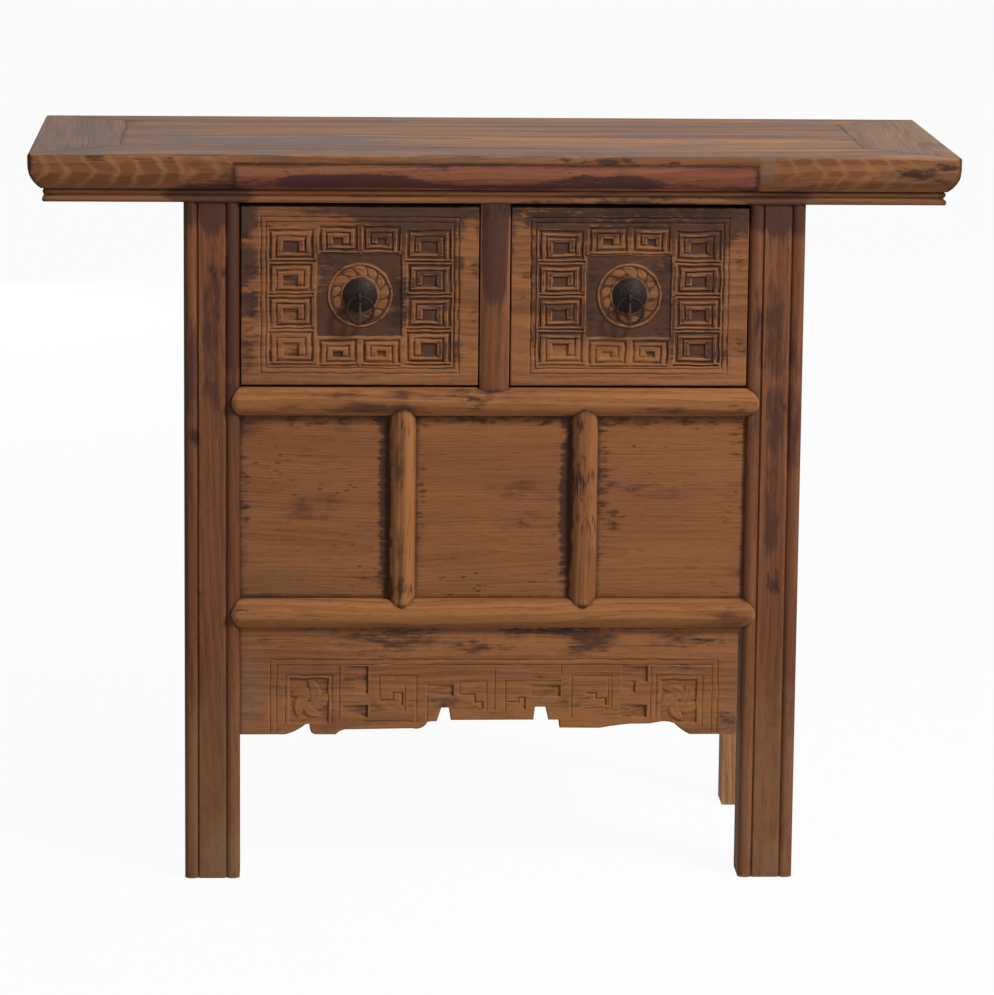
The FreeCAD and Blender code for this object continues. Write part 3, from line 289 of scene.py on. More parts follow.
class Effects:
    """Builds the shared shader node groups once."""

    def __init__(self) -> None:
        """Build every group."""
        self.groups = {Effect.FIGURE: self._figure(), Effect.AGEING: self._ageing(),
                       Effect.SPECKS: self._specks(), Effect.ARCHES: self._arches()}

    def place(self, wiring: Wiring, effect: Effect, inputs: dict) -> bpy.types.bpy_prop_collection:
        """Place one of the groups in a material and return its outputs."""
        return wiring.add("ShaderNodeGroup", inputs, node_tree=self.groups[effect]).outputs

    @staticmethod
    def _start(effect: Effect, inputs: dict[str, float | None]) -> tuple:
        """Make an empty group with named inputs.

        Args:
            effect: Names the group.
            inputs: Default values by name, where None is a vector.

        Returns:
            The wiring, and the sockets that give the inputs.
        """
        tree = bpy.data.node_groups.new(effect.value, "ShaderNodeTree")
        for name, value in inputs.items():
            kind = "NodeSocketVector" if value is None else "NodeSocketFloat"
            socket = tree.interface.new_socket(name, in_out="INPUT", socket_type=kind)
            if value is not None:
                socket.default_value = value
        wiring = Wiring(tree)
        return wiring, wiring.add("NodeGroupInput").outputs

    @staticmethod
    def _end(wiring: Wiring, values: dict[str, Socket]) -> bpy.types.NodeTree:
        """Give out a group's values.

        Args:
            wiring: The group's wiring.
            values: What it gives, by name.

        Returns:
            The finished group.
        """
        for name in values:
            wiring.tree.interface.new_socket(name, in_out="OUTPUT", socket_type="NodeSocketFloat")
        wiring.add("NodeGroupOutput", values)
        return wiring.tree

    def _figure(self) -> bpy.types.NodeTree:
        """Growth rings, long fibres, broad streaks and open pores of elm.

        Returns:
            The group.
        """
        wiring, given = self._start(
            Effect.FIGURE, {"Place": None, "Ring Scale": 30.0, "Flame": 0.03})
        warp = wiring.grained(given["Place"], 2.2, 9.0, 2.0, output="Color")
        centred = wiring.vector("SUBTRACT", warp, (0.5, 0.5, 0.5))
        push = wiring.vector("SCALE", centred, given["Flame"], "Scale")
        place = wiring.vector("ADD", given["Place"], push)
        rings = wiring.add("ShaderNodeTexWave", {
            "Vector": place, "Scale": given["Ring Scale"], "Distortion": 1.2,
            "Detail": 2.0, "Detail Scale": 0.6}, wave_type="RINGS", rings_direction="X",
            wave_profile="SAW")
        return self._end(wiring, {
            "Rings": rings.outputs["Fac"],
            "Fibre": wiring.grained(place, 9.0, 330.0, 4.0, 0.6),
            "Streaks": wiring.grained(place, 1.6, 26.0, 3.0, 0.6),
            "Pores": wiring.step(wiring.grained(place, 60.0, 1100.0, 1.0), 0.6, 0.72)})

    def _ageing(self) -> bpy.types.NodeTree:
        """Where lacquer is left, where grime and painted shade lie and where wood is rubbed bare
        or greyed.

        Returns:
            The group.
        """
        wiring, given = self._start(Effect.AGEING, {
            "Place": None, "Wear": 0.0, "Dirt and Shade": 0.0, "Fibre": 0.5, "Cover": 0.5,
            "Patch Scale": 1.0, "Grime and Shade": 0.5, "Stain and Shadow": 0.0, "Grey": 0.0})
        wear, dirt_and_shade, fibre, stain_and_shadow = (given[name] for name in ("Wear", "Dirt and Shade", "Fibre", "Stain and Shadow"))
        place = wiring.vector("SCALE", given["Place"], given["Patch Scale"], "Scale")
        patches = wiring.grained(place, 7.0, 22.0, 5.0, 0.62)
        fine = wiring.grained(place, 60.0, 170.0, 3.0, 0.6)
        lacquer = wiring.total(patches, (fine, 0.2), (fibre, 0.22), (wear, -0.34),
                               given["Cover"], -0.71)
        # The dirt input is also painted shade from corners, grooves and contacts; the grime mask
        # lays it together with the real grime patches.
        grime_and_shade = wiring.total((dirt_and_shade, 0.72), (patches, 0.55), (fine, 0.3), given["Grime and Shade"], -0.98)
        bare = wiring.total((wear, 0.75), (fine, 0.55), (patches, 0.35), -0.42)
        broken = wiring.total((patches, 0.9), (fine, 0.5), (fibre, 0.3), -0.85)
        ragged = wiring.total((patches, 0.8), (fine, 2.2), (fibre, 0.9), -2.0)
        # Some stain marks are painted shadows under overhangs and beside the stiles.
        ragged_stain_and_shadow = wiring.total(stain_and_shadow, (ragged, wiring.step(stain_and_shadow, 0.02, 0.3)))
        return self._end(wiring, {
            "Lacquer and Shade": wiring.step(lacquer, 0.42, 0.6), "Grime and Shade": wiring.step(grime_and_shade, 0.1, 0.62),
            "Bare": wiring.step(bare, 0.3, 0.75), "Stain and Shadow": wiring.step(ragged_stain_and_shadow, 0.2, 0.85),
            "Grey": wiring.step(wiring.total(given["Grey"], broken), 0.12, 0.75)})

    def _arches(self) -> bpy.types.NodeTree:
        """Pale pointed arches of the growth rings where a board's end comes to its edge.

        Returns:
            The group.
        """
        wiring, given = self._start(Effect.ARCHES, {
            "Place": None, "Height": 0.86, "Slope": 0.8, "Arch Scale": 11.0})
        across, deep, up = wiring.add("ShaderNodeSeparateXYZ", {0: given["Place"]}).outputs
        rise = wiring.math("SUBTRACT", up, given["Height"])
        along = wiring.total(across, (wiring.math("ABSOLUTE", rise), given["Slope"]))
        bent = wiring.add("ShaderNodeCombineXYZ", {0: along, 1: deep, 2: rise})
        bands = wiring.add("ShaderNodeTexWave", {
            "Vector": bent.outputs[0], "Scale": given["Arch Scale"], "Distortion": 5.5,
            "Detail": 4.0, "Detail Scale": 2.6}, wave_profile="TRI")
        return self._end(wiring, {"Arches": wiring.step(bands.outputs["Fac"], 0.5, 1.0)})

    def _specks(self) -> bpy.types.NodeTree:
        """Small dark specks and smudges that gather in places.

        Returns:
            The group.
        """
        wiring, given = self._start(
            Effect.SPECKS, {"Place": None, "Speck Scale": 260.0, "Amount": 0.5})
        cells = wiring.add("ShaderNodeTexVoronoi", {
            "Vector": given["Place"], "Scale": given["Speck Scale"], "Randomness": 1.0})
        dots = wiring.step(cells.outputs["Distance"], 0.3, 0.12)
        gather = wiring.total(wiring.noise(given["Place"], 22.0), given["Amount"], -0.5)
        places = wiring.step(gather, 0.46, 0.62)
        return self._end(wiring, {"Specks": wiring.math("MULTIPLY", dots, places)})


def started(name: str) -> tuple[bpy.types.Material, Wiring, bpy.types.Node]:
    """Start a material.

    Args:
        name: Its name.

    Returns:
        The material, its wiring and its Principled BSDF.
    """
    made = bpy.data.materials.new(name)
    made.use_nodes = True
    return made, Wiring(made.node_tree), made.node_tree.nodes["Principled BSDF"]


@dataclass(frozen=True)
class WoodFinish:
    """A wood surface: its colours, how much lacquer and grime it keeps, and its figure; its
    lacquer and grime colours also lay painted shade.
    """

    name: str
    slot: str
    pale: Colour
    middle: Colour
    deep: Colour
    lacquer: Colour
    grime_and_shade: Colour
    bare: Colour
    grey: Colour = paint(104, 82, 68)
    cover: float = 0.5
    soiling: float = 0.5
    specks: float = 0.3
    speck_scale: float = 150.0
    speck_shape: tuple[float, float, float] = (0.45, 1, 1)
    patch_scale: float = 1.0
    ring_scale: float = 34.0
    flame: float = 0.035
    softness: float = 0.22
    arches: float = 0.0
    dull: float = 0.68
    sheen: float = 0.5
    shine: float = 0.12
    relief: float = 0.35

    def material(self, effects: Effects) -> bpy.types.Material:
        """Build the material.

        Args:
            effects: The shared node groups.

        Returns:
            The finished material.
        """
        made, wiring, shader = started(self.name)
        place = wiring.attribute("grain_place", "Vector")
        stain_and_shadow, kept, grey, arch = (wiring.attribute(trace.value) for trace in Trace)
        figure = effects.place(wiring, Effect.FIGURE, {
            "Place": place, "Ring Scale": self.ring_scale, "Flame": self.flame})
        ageing = effects.place(wiring, Effect.AGEING, {
            "Place": place, "Wear": wiring.attribute("wear"), "Dirt and Shade": wiring.attribute("dirt_and_shade"),
            "Fibre": figure["Fibre"], "Cover": wiring.math("ADD", kept, self.cover),
            "Patch Scale": self.patch_scale, "Grime and Shade": self.soiling, "Stain and Shadow": stain_and_shadow,
            "Grey": grey})
        specks = effects.place(wiring, Effect.SPECKS, {
            "Place": wiring.vector("MULTIPLY", place, self.speck_shape),
            "Speck Scale": self.speck_scale, "Amount": self.specks})
        tone = wiring.total((figure["Rings"], 0.3), (figure["Streaks"], 1.1), -0.2)
        wood = wiring.mix(wiring.step(tone, 0.5 - self.softness, 0.5 + self.softness), self.pale,
                          self.middle)
        wood = wiring.layers(wood, (wiring.step(figure["Fibre"], 0.48, 0.72), 0.5, self.deep))
        if self.arches:
            object_place = wiring.add("ShaderNodeTexCoord").outputs["Object"]
            arched = effects.place(wiring, Effect.ARCHES, {"Place": object_place})
            share = wiring.math("MULTIPLY", arched["Arches"], arch)
            wood = wiring.layers(wood, (share, self.arches, self.bare))
        # The lacquer and grime colours also lay painted shade and shadow, from the dirt attribute
        # and from the shadow marks.
        wood = wiring.layers(
            wood, (ageing["Bare"], 0.6, self.bare), (ageing["Grey"], 0.8, self.grey),
            (ageing["Lacquer and Shade"], 0.9, self.lacquer), (ageing["Grime and Shade"], 0.85, self.grime_and_shade),
            (figure["Pores"], 0.35, self.grime_and_shade), (specks["Specks"], 0.7, self.grime_and_shade),
            (ageing["Stain and Shadow"], 0.82, self.grime_and_shade))
        gloss = wiring.total(wiring.spread(ageing["Lacquer and Shade"], self.dull, self.sheen),
                             (figure["Fibre"], 0.1))
        height = wiring.total((figure["Fibre"], 0.5), (figure["Pores"], -0.6),
                              (figure["Rings"], 0.25), (ageing["Lacquer and Shade"], 0.35))
        wiring.feed(shader, {
            "Base Color": wood, "Specular IOR Level": self.shine, "Roughness": gloss,
            "Normal": wiring.bump(height, self.relief)})
        return made


@dataclass(frozen=True)
class IronFinish:
    """Dark forged iron with a dull rubbed sheen and a little rust."""

    name: str = "forged_iron"
    slot: str = "forged_iron"
    dark: Colour = paint(26, 20, 18)
    rubbed: Colour = paint(52, 42, 37)
    rust: Colour = paint(62, 38, 27)
    metal: float = 0.35
    shine: float = 0.2
    relief: float = 0.5

    def material(self, effects: Effects) -> bpy.types.Material:
        """Build the material from the shared groups and its own hammer marks.

        Args:
            effects: The shared node groups.

        Returns:
            The finished material.
        """
        made, wiring, shader = started(self.name)
        place = wiring.add("ShaderNodeTexCoord").outputs["Object"]
        hammered = wiring.noise(place, 380.0)
        scale = wiring.noise(place, 1500.0, 3.0, 0.65)
        specks = effects.place(wiring, Effect.SPECKS, {
            "Place": place, "Speck Scale": 900.0, "Amount": 0.6})
        colour = wiring.mix(wiring.step(hammered, 0.5, 0.75), self.dark, self.rust)
        rubbed = wiring.total((wiring.attribute("wear"), 0.6), (scale, 0.5), -0.3)
        colour = wiring.mix(wiring.step(rubbed, 0.2, 0.7), colour, self.rubbed)
        wiring.feed(shader, {
            "Base Color": wiring.mix(specks["Specks"], colour, self.rust),
            "Roughness": wiring.spread(scale, 0.42, 0.8), "Metallic": self.metal,
            "Specular IOR Level": self.shine,
            "Normal": wiring.bump(wiring.total(hammered, (scale, 0.3)), self.relief)})
        return made


@dataclass(frozen=True)
class Finishes:
    """Every finish on the table."""

    top: WoodFinish = WoodFinish(
        "weathered_top", "weathered_top", paint(146, 104, 71), paint(98, 71, 56),
        paint(70, 52, 43), paint(76, 58, 51), paint(48, 37, 32), paint(166, 120, 80),
        grey=paint(88, 73, 64), cover=0.41, soiling=0.3, specks=0.15, patch_scale=1.1,
        dull=0.62, sheen=0.5, shine=0.2, ring_scale=26.0, relief=0.3, softness=0.1)
    top_end: WoodFinish = replace(
        top, name="top_end", pale=paint(134, 104, 80), ring_scale=90.0, flame=0.02,
        softness=0.32)
    edge: WoodFinish = WoodFinish(
        "rounded_edge", "weathered_top", paint(128, 82, 50), paint(100, 62, 38),
        paint(74, 44, 28), paint(64, 37, 27), paint(38, 26, 21), paint(156, 108, 68),
        grey=paint(108, 80, 60), cover=0.3, soiling=0.34, specks=0.3, ring_scale=22.0,
        flame=0.07, arches=0.5)
    worn: WoodFinish = WoodFinish(
        "worn_lacquer", "worn_lacquer", paint(142, 94, 55), paint(116, 73, 42),
        paint(86, 51, 30), paint(72, 42, 28), paint(40, 26, 19), paint(164, 116, 72),
        cover=0.32, soiling=0.3, specks=0.25)
    moulding: WoodFinish = replace(
        worn, name="worn_moulding", pale=paint(120, 78, 48), middle=paint(96, 60, 37),
        deep=paint(72, 43, 28))
    panel: WoodFinish = WoodFinish(
        "worn_panel", "worn_lacquer", paint(130, 84, 49), paint(114, 71, 42),
        paint(90, 55, 34), paint(88, 54, 34), paint(42, 28, 21), paint(148, 100, 62),
        grey=paint(98, 74, 50), cover=0.34, soiling=0.38, specks=0.42, softness=0.3,
        ring_scale=90.0, flame=0.012)
    carved: WoodFinish = WoodFinish(
        "carved_wood", "worn_lacquer", paint(133, 87, 52), paint(109, 69, 42),
        paint(80, 48, 30), paint(58, 37, 27), paint(42, 27, 20), paint(143, 95, 57),
        cover=0.36, soiling=0.26, specks=0.35, patch_scale=1.6, ring_scale=40.0)
    dark: WoodFinish = WoodFinish(
        "dark_lacquer", "dark_lacquer", paint(112, 70, 44), paint(89, 54, 35),
        paint(64, 38, 26), paint(62, 37, 28), paint(36, 23, 18), paint(140, 94, 60),
        grey=paint(118, 86, 60), cover=0.33, soiling=0.24, specks=0.25, patch_scale=0.8,
        softness=0.3, sheen=0.44)
    pale_leg: WoodFinish = WoodFinish(
        "pale_leg", "worn_lacquer", paint(158, 116, 80), paint(134, 94, 62),
        paint(98, 64, 42), paint(98, 64, 44), paint(50, 34, 26), paint(176, 136, 98),
        cover=0.3, soiling=0.28, specks=0.25)
    red: WoodFinish = WoodFinish(
        "red_lacquer", "red_lacquer", paint(132, 84, 57), paint(118, 66, 50),
        paint(86, 44, 35), paint(62, 36, 34), paint(36, 24, 22), paint(156, 102, 74),
        cover=0.42, soiling=0.36, specks=0.4, patch_scale=1.6, sheen=0.46)
    bare: WoodFinish = WoodFinish(
        "bare_wood", "bare_wood", paint(160, 120, 82), paint(136, 98, 64),
        paint(104, 72, 47), paint(118, 84, 57), paint(76, 55, 40), paint(174, 136, 98),
        cover=0.26, soiling=0.22, specks=0.15, dull=0.75, sheen=0.65)
    iron: IronFinish = IronFinish()


@dataclass(frozen=True)
class Mark:
    """A trace of age round a point of the row frame, in millimetres; some marks are painted shadow
    and shade instead.
    """

    trace: Trace
    centre: tuple[float, float, float]
    reach: tuple[float, float, float]
    strength: float = 1.0

    def over(self, places: np.ndarray) -> np.ndarray:
        """How strong the trace is at each place, given in metres; a stain and shadow mark fades
        out slowly.
        """
        away = np.sum(((places / MM - np.array(self.centre)) / np.array(self.reach)) ** 2, axis=1)
        return self.strength * np.exp(-away if self.trace is Trace.STAIN_AND_SHADOW else -away ** 2)


def sharp(work: bmesh.types.BMesh, convex: bool) -> list[bmesh.types.BMEdge]:
    """A solid's outer or inner corners."""
    return [edge for edge in work.edges if len(edge.link_faces) == 2
            and edge.is_convex == convex and edge.calc_face_angle(0) > ARRIS_ANGLE]


def cut_plane(work: bmesh.types.BMesh, place: Vector | list | tuple,
              normal: Vector | list | tuple, **clear: bool) -> None:
    """Cut a solid along a plane.

    Args:
        work: The solid.
        place: A point of the plane.
        normal: The way that the plane looks.
        **clear: Whether to clear_inner or clear_outer, what lies behind or before it.
    """
    bmesh.ops.bisect_plane(work, geom=work.verts[:] + work.edges[:] + work.faces[:],
                           plane_co=place, plane_no=normal, **clear)


def settled(work: bmesh.types.BMesh, name: str) -> bpy.types.Mesh:
    """Turn a worked solid, which is used up, into a plain mesh.

    Args:
        work: The solid.
        name: Name of the mesh.

    Returns:
        The mesh.
    """
    mesh = bpy.data.meshes.new(name)
    work.to_mesh(mesh)
    work.free()
    return mesh


@dataclass
class Bench:
    """Makes finished pieces from solids and puts them on their bodies; sizes in metres."""

    effects: Effects
    bodies: dict[str, str]
    marks: tuple[Mark, ...] = ()
    spacing: float = 0.002
    insets: tuple[float, ...] = (2.2 * MM, 7 * MM)
    coarsest: float = 0.014
    worn_reach: float = 0.0028
    corner_reach: float = 0.003
    contact_reach: float = 0.006
    search: float = 0.03
    looks_up: float = 0.62
    tilt: float = 1.6
    shift: float = 4.0
    heart: tuple[float, float] = (0.03, 0.07)
    materials: dict[str, bpy.types.Material] = field(default_factory=dict)
    made: list[bpy.types.Object] = field(default_factory=list)

    def dressed(self, finish: WoodFinish | IronFinish) -> bpy.types.Material:
        """The material of a finish, built at its first use.

        Args:
            finish: The finish.

        Returns:
            Its material.
        """
        if finish.name not in self.materials:
            self.materials[finish.name] = finish.material(self.effects)
        return self.materials[finish.name]

    def copied(self, node: str) -> bmesh.types.BMesh:
        """Copy a node's solid, with its points merged and its flat faces whole.

        Args:
            node: The CAD node.

        Returns:
            The copy.
        """
        work = bmesh.new()
        work.from_mesh(frame["nodes"][node].data)
        bmesh.ops.remove_doubles(work, verts=work.verts, dist=SAME_PLACE)
        bmesh.ops.dissolve_limit(work, angle_limit=FLAT_ANGLE, verts=work.verts,
                                 edges=work.edges)
        return work

    def neighbours(self, node: str) -> BVHTree | None:
        """Gather the solids near a node on its own body, for the dirt and painted shade where they
        meet it.

        Args:
            node: The CAD node.

        Returns:
            Their faces, or nothing where it stands alone.
        """
        low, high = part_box(node)
        points, faces = [], []
        for other, obj in frame["nodes"].items():
            if other == node or self.bodies[other] != self.bodies[node]:
                continue
            start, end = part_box(other)
            if any(start[k] > high[k] + self.search or end[k] < low[k] - self.search
                   for k in range(3)):
                continue
            first = len(points)
            points += [v.co for v in obj.data.vertices]
            faces += [[first + k for k in p.vertices] for p in obj.data.polygons]
        return BVHTree.FromPolygons(points, faces) if faces else None

    def sharp_places(self, work: bmesh.types.BMesh, convex: bool) -> KDTree:
        """Set points along a solid's corners.

        Args:
            work: The solid.
            convex: Whether they are its outer or its inner corners.

        Returns:
            The points.
        """
        points = []
        for edge in sharp(work, convex):
            first, second = (v.co for v in edge.verts)
            count = max(2, int((second - first).length / self.spacing))
            points += [first.lerp(second, k / (count - 1)) for k in range(count)]
        tree = KDTree(len(points))
        for number, point in enumerate(points):
            tree.insert(point, number)
        tree.balance()
        return tree

    def soften(self, work: bmesh.types.BMesh, arris: float, station: float,
               grain: Grain) -> None:
        """Round a solid's arrises and cut its faces into stations.

        Args:
            work: The solid.
            arris: Width of the rounding.
            station: Distance between cuts along the grain.
            grain: The axis that the grain follows.
        """
        if arris:
            bmesh.ops.bevel(work, geom=sharp(work, True), offset=arris, segments=2,
                            profile=0.6, affect="EDGES", clamp_overlap=True)
        points = np.array([v.co for v in work.verts])
        low, high = points.min(0), points.max(0)
        for axis in range(3):
            span = high[axis] - low[axis]
            cuts, spacing = [], station
            if axis != grain.value:
                cuts = [p for inset in self.insets if span > 3 * inset
                        for p in (low[axis] + inset, high[axis] - inset)]
                spacing = max(station, self.coarsest)
            count = int(span / spacing)
            cuts += [low[axis] + span * (k + 1) / (count + 1) for k in range(count)]
            normal = [float(k == axis) for k in range(3)]
            for cut in cuts:
                cut_plane(work, [cut * n for n in normal], normal)

    @staticmethod
    def fading(away: float | None, reach: float) -> float:
        """1 at a found place and less away from it, or 0 where none was found."""
        return 0.0 if away is None else math.exp(-away / reach)

    def mark(self, mesh: bpy.types.Mesh, node: str, grain: Grain, arrises: KDTree,
             corners: KDTree | None, seed: int) -> None:
        """Write a piece's grain place, wear, dirt with painted shade, and stains as attributes.

        Args:
            mesh: The piece's mesh.
            node: The CAD node that it stands for.
            grain: The axis that the grain follows.
            arrises: Points on the outer corners, which wear.
            corners: Points in the inner corners, which hold dirt and painted shade.
            seed: Picks the piece's own figure.
        """
        near = self.neighbours(node)
        # Dirt here is also painted shade: darker near inner corners and where other solids of the
        # body meet the piece.
        wear, dirt_and_shade = np.zeros((2, len(mesh.vertices)))
        for number, vertex in enumerate(mesh.vertices):
            wear[number] = self.fading(arrises.find(vertex.co)[2], self.worn_reach)
            if corners is not None:
                dirt_and_shade[number] = self.fading(corners.find(vertex.co)[2], self.corner_reach)
            if near is not None:
                away = near.find_nearest(vertex.co, self.search)[3]
                dirt_and_shade[number] = max(dirt_and_shade[number], self.fading(away, self.contact_reach))
        self.write(mesh, "wear", wear * (1 - dirt_and_shade))
        self.write(mesh, "dirt_and_shade", dirt_and_shade)
        self.place_grain(mesh, grain, seed)

    def place_grain(self, mesh: bpy.types.Mesh, grain: Grain, seed: int) -> None:
        """Write where each vertex lies in its board's own log, and the marks on it: traces of age,
        painted shadow and painted shade.

        Args:
            mesh: The piece's mesh.
            grain: The axis that the grain follows.
            seed: Picks the board's place in the log.
        """
        places = np.zeros(len(mesh.vertices) * 3)
        mesh.vertices.foreach_get("co", places)
        places = places.reshape(-1, 3)
        chance = np.random.default_rng(seed + 11)
        middle = (places.min(0) + places.max(0)) / 2
        tilt = Euler(np.radians(chance.uniform(-self.tilt, self.tilt, 3))).to_matrix()
        turn = np.array(tilt @ grain.turn)
        along = chance.uniform(-self.shift, self.shift)
        offset = np.array([along, *chance.uniform(*self.heart, 2)])
        local = (places - middle) @ turn.T + offset
        layer = mesh.attributes.new("grain_place", "FLOAT_VECTOR", "POINT")
        layer.data.foreach_set("vector", local.ravel())
        for trace in Trace:
            spots = (spot.over(places) for spot in self.marks if spot.trace is trace)
            self.write(mesh, trace.value,
                       sum(spots, np.zeros(len(places))) + self.read(mesh, trace.value))

    @staticmethod
    def read(mesh: bpy.types.Mesh, name: str) -> np.ndarray:
        """Read one value for each vertex, 0 where nothing is written.

        Args:
            mesh: The mesh.
            name: Name of the attribute.

        Returns:
            The values.
        """
        values = np.zeros(len(mesh.vertices), np.float32)
        if mesh.attributes.get(name) is not None:
            mesh.attributes[name].data.foreach_get("value", values)
        return values

    @staticmethod
    def write(mesh: bpy.types.Mesh, name: str, values: np.ndarray) -> None:
        """Write one value for each vertex."""
        layer = mesh.attributes.get(name) or mesh.attributes.new(name, "FLOAT", "POINT")
        layer.data.foreach_set("value", np.clip(values, -1, 1).astype(np.float32))

    def deliver(self, mesh: bpy.types.Mesh, node: str, finish: WoodFinish | IronFinish,
                sides: WoodFinish | None = None) -> None:
        """Put a finished mesh on its body in place of its CAD node.

        Args:
            mesh: The finished mesh, in the row frame.
            node: The node that it stands for.
            finish: Its finish.
            sides: A second finish for every face that doesn't look up.
        """
        obj = bpy.data.objects.new(node + "_finished", mesh)
        bpy.context.scene.collection.objects.link(obj)
        mesh.materials.clear()
        mesh.materials.append(self.dressed(finish))
        if sides is not None:
            mesh.materials.append(self.dressed(sides))
            mesh.polygons.foreach_set(
                "material_index", [int(p.normal.z < self.looks_up) for p in mesh.polygons])
        mesh.polygons.foreach_set("use_smooth", [True] * len(mesh.polygons))
        mesh.set_sharp_from_angle(angle=CREASE_ANGLE)
        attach(obj, self.bodies[node])
        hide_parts(node)
        self.made.append(obj)

    def timber(self, node: str, finish: WoodFinish, grain: Grain, arris: float,
               station: float = 0.02, sides: WoodFinish | None = None) -> None:
        """Make a wooden piece by softening its solid.

        Args:
            node: The CAD node.
            finish: Its finish.
            grain: The axis that the grain follows.
            arris: Width of the rounding on its arrises.
            station: Distance between cuts along the grain.
            sides: A second finish for every face that doesn't look up.
        """
        work = self.copied(node)
        arrises, corners = self.sharp_places(work, True), self.sharp_places(work, False)
        self.soften(work, arris, station, grain)
        mesh = settled(work, node + "_finished")
        self.mark(mesh, node, grain, arrises, corners, seed=sum(map(ord, node)))
        self.deliver(mesh, node, finish, sides)

    def casting(self, node: str, finish: IronFinish) -> None:
        """Take an iron piece over from its solid, with its edges marked for wear.

        Args:
            node: The CAD node.
            finish: Its finish.
        """
        work = self.copied(node)
        arrises = self.sharp_places(work, True)
        mesh = settled(work, node + "_finished")
        self.mark(mesh, node, Grain.ACROSS, arrises, None, seed=1)
        self.deliver(mesh, node, finish)

    def carving(self, node: str, mesh: bpy.types.Mesh, finish: WoodFinish, seed: int) -> None:
        """Give a carved mesh its grain and put it on its body."""
        self.place_grain(mesh, Grain.ACROSS, seed)
        self.deliver(mesh, node, finish)


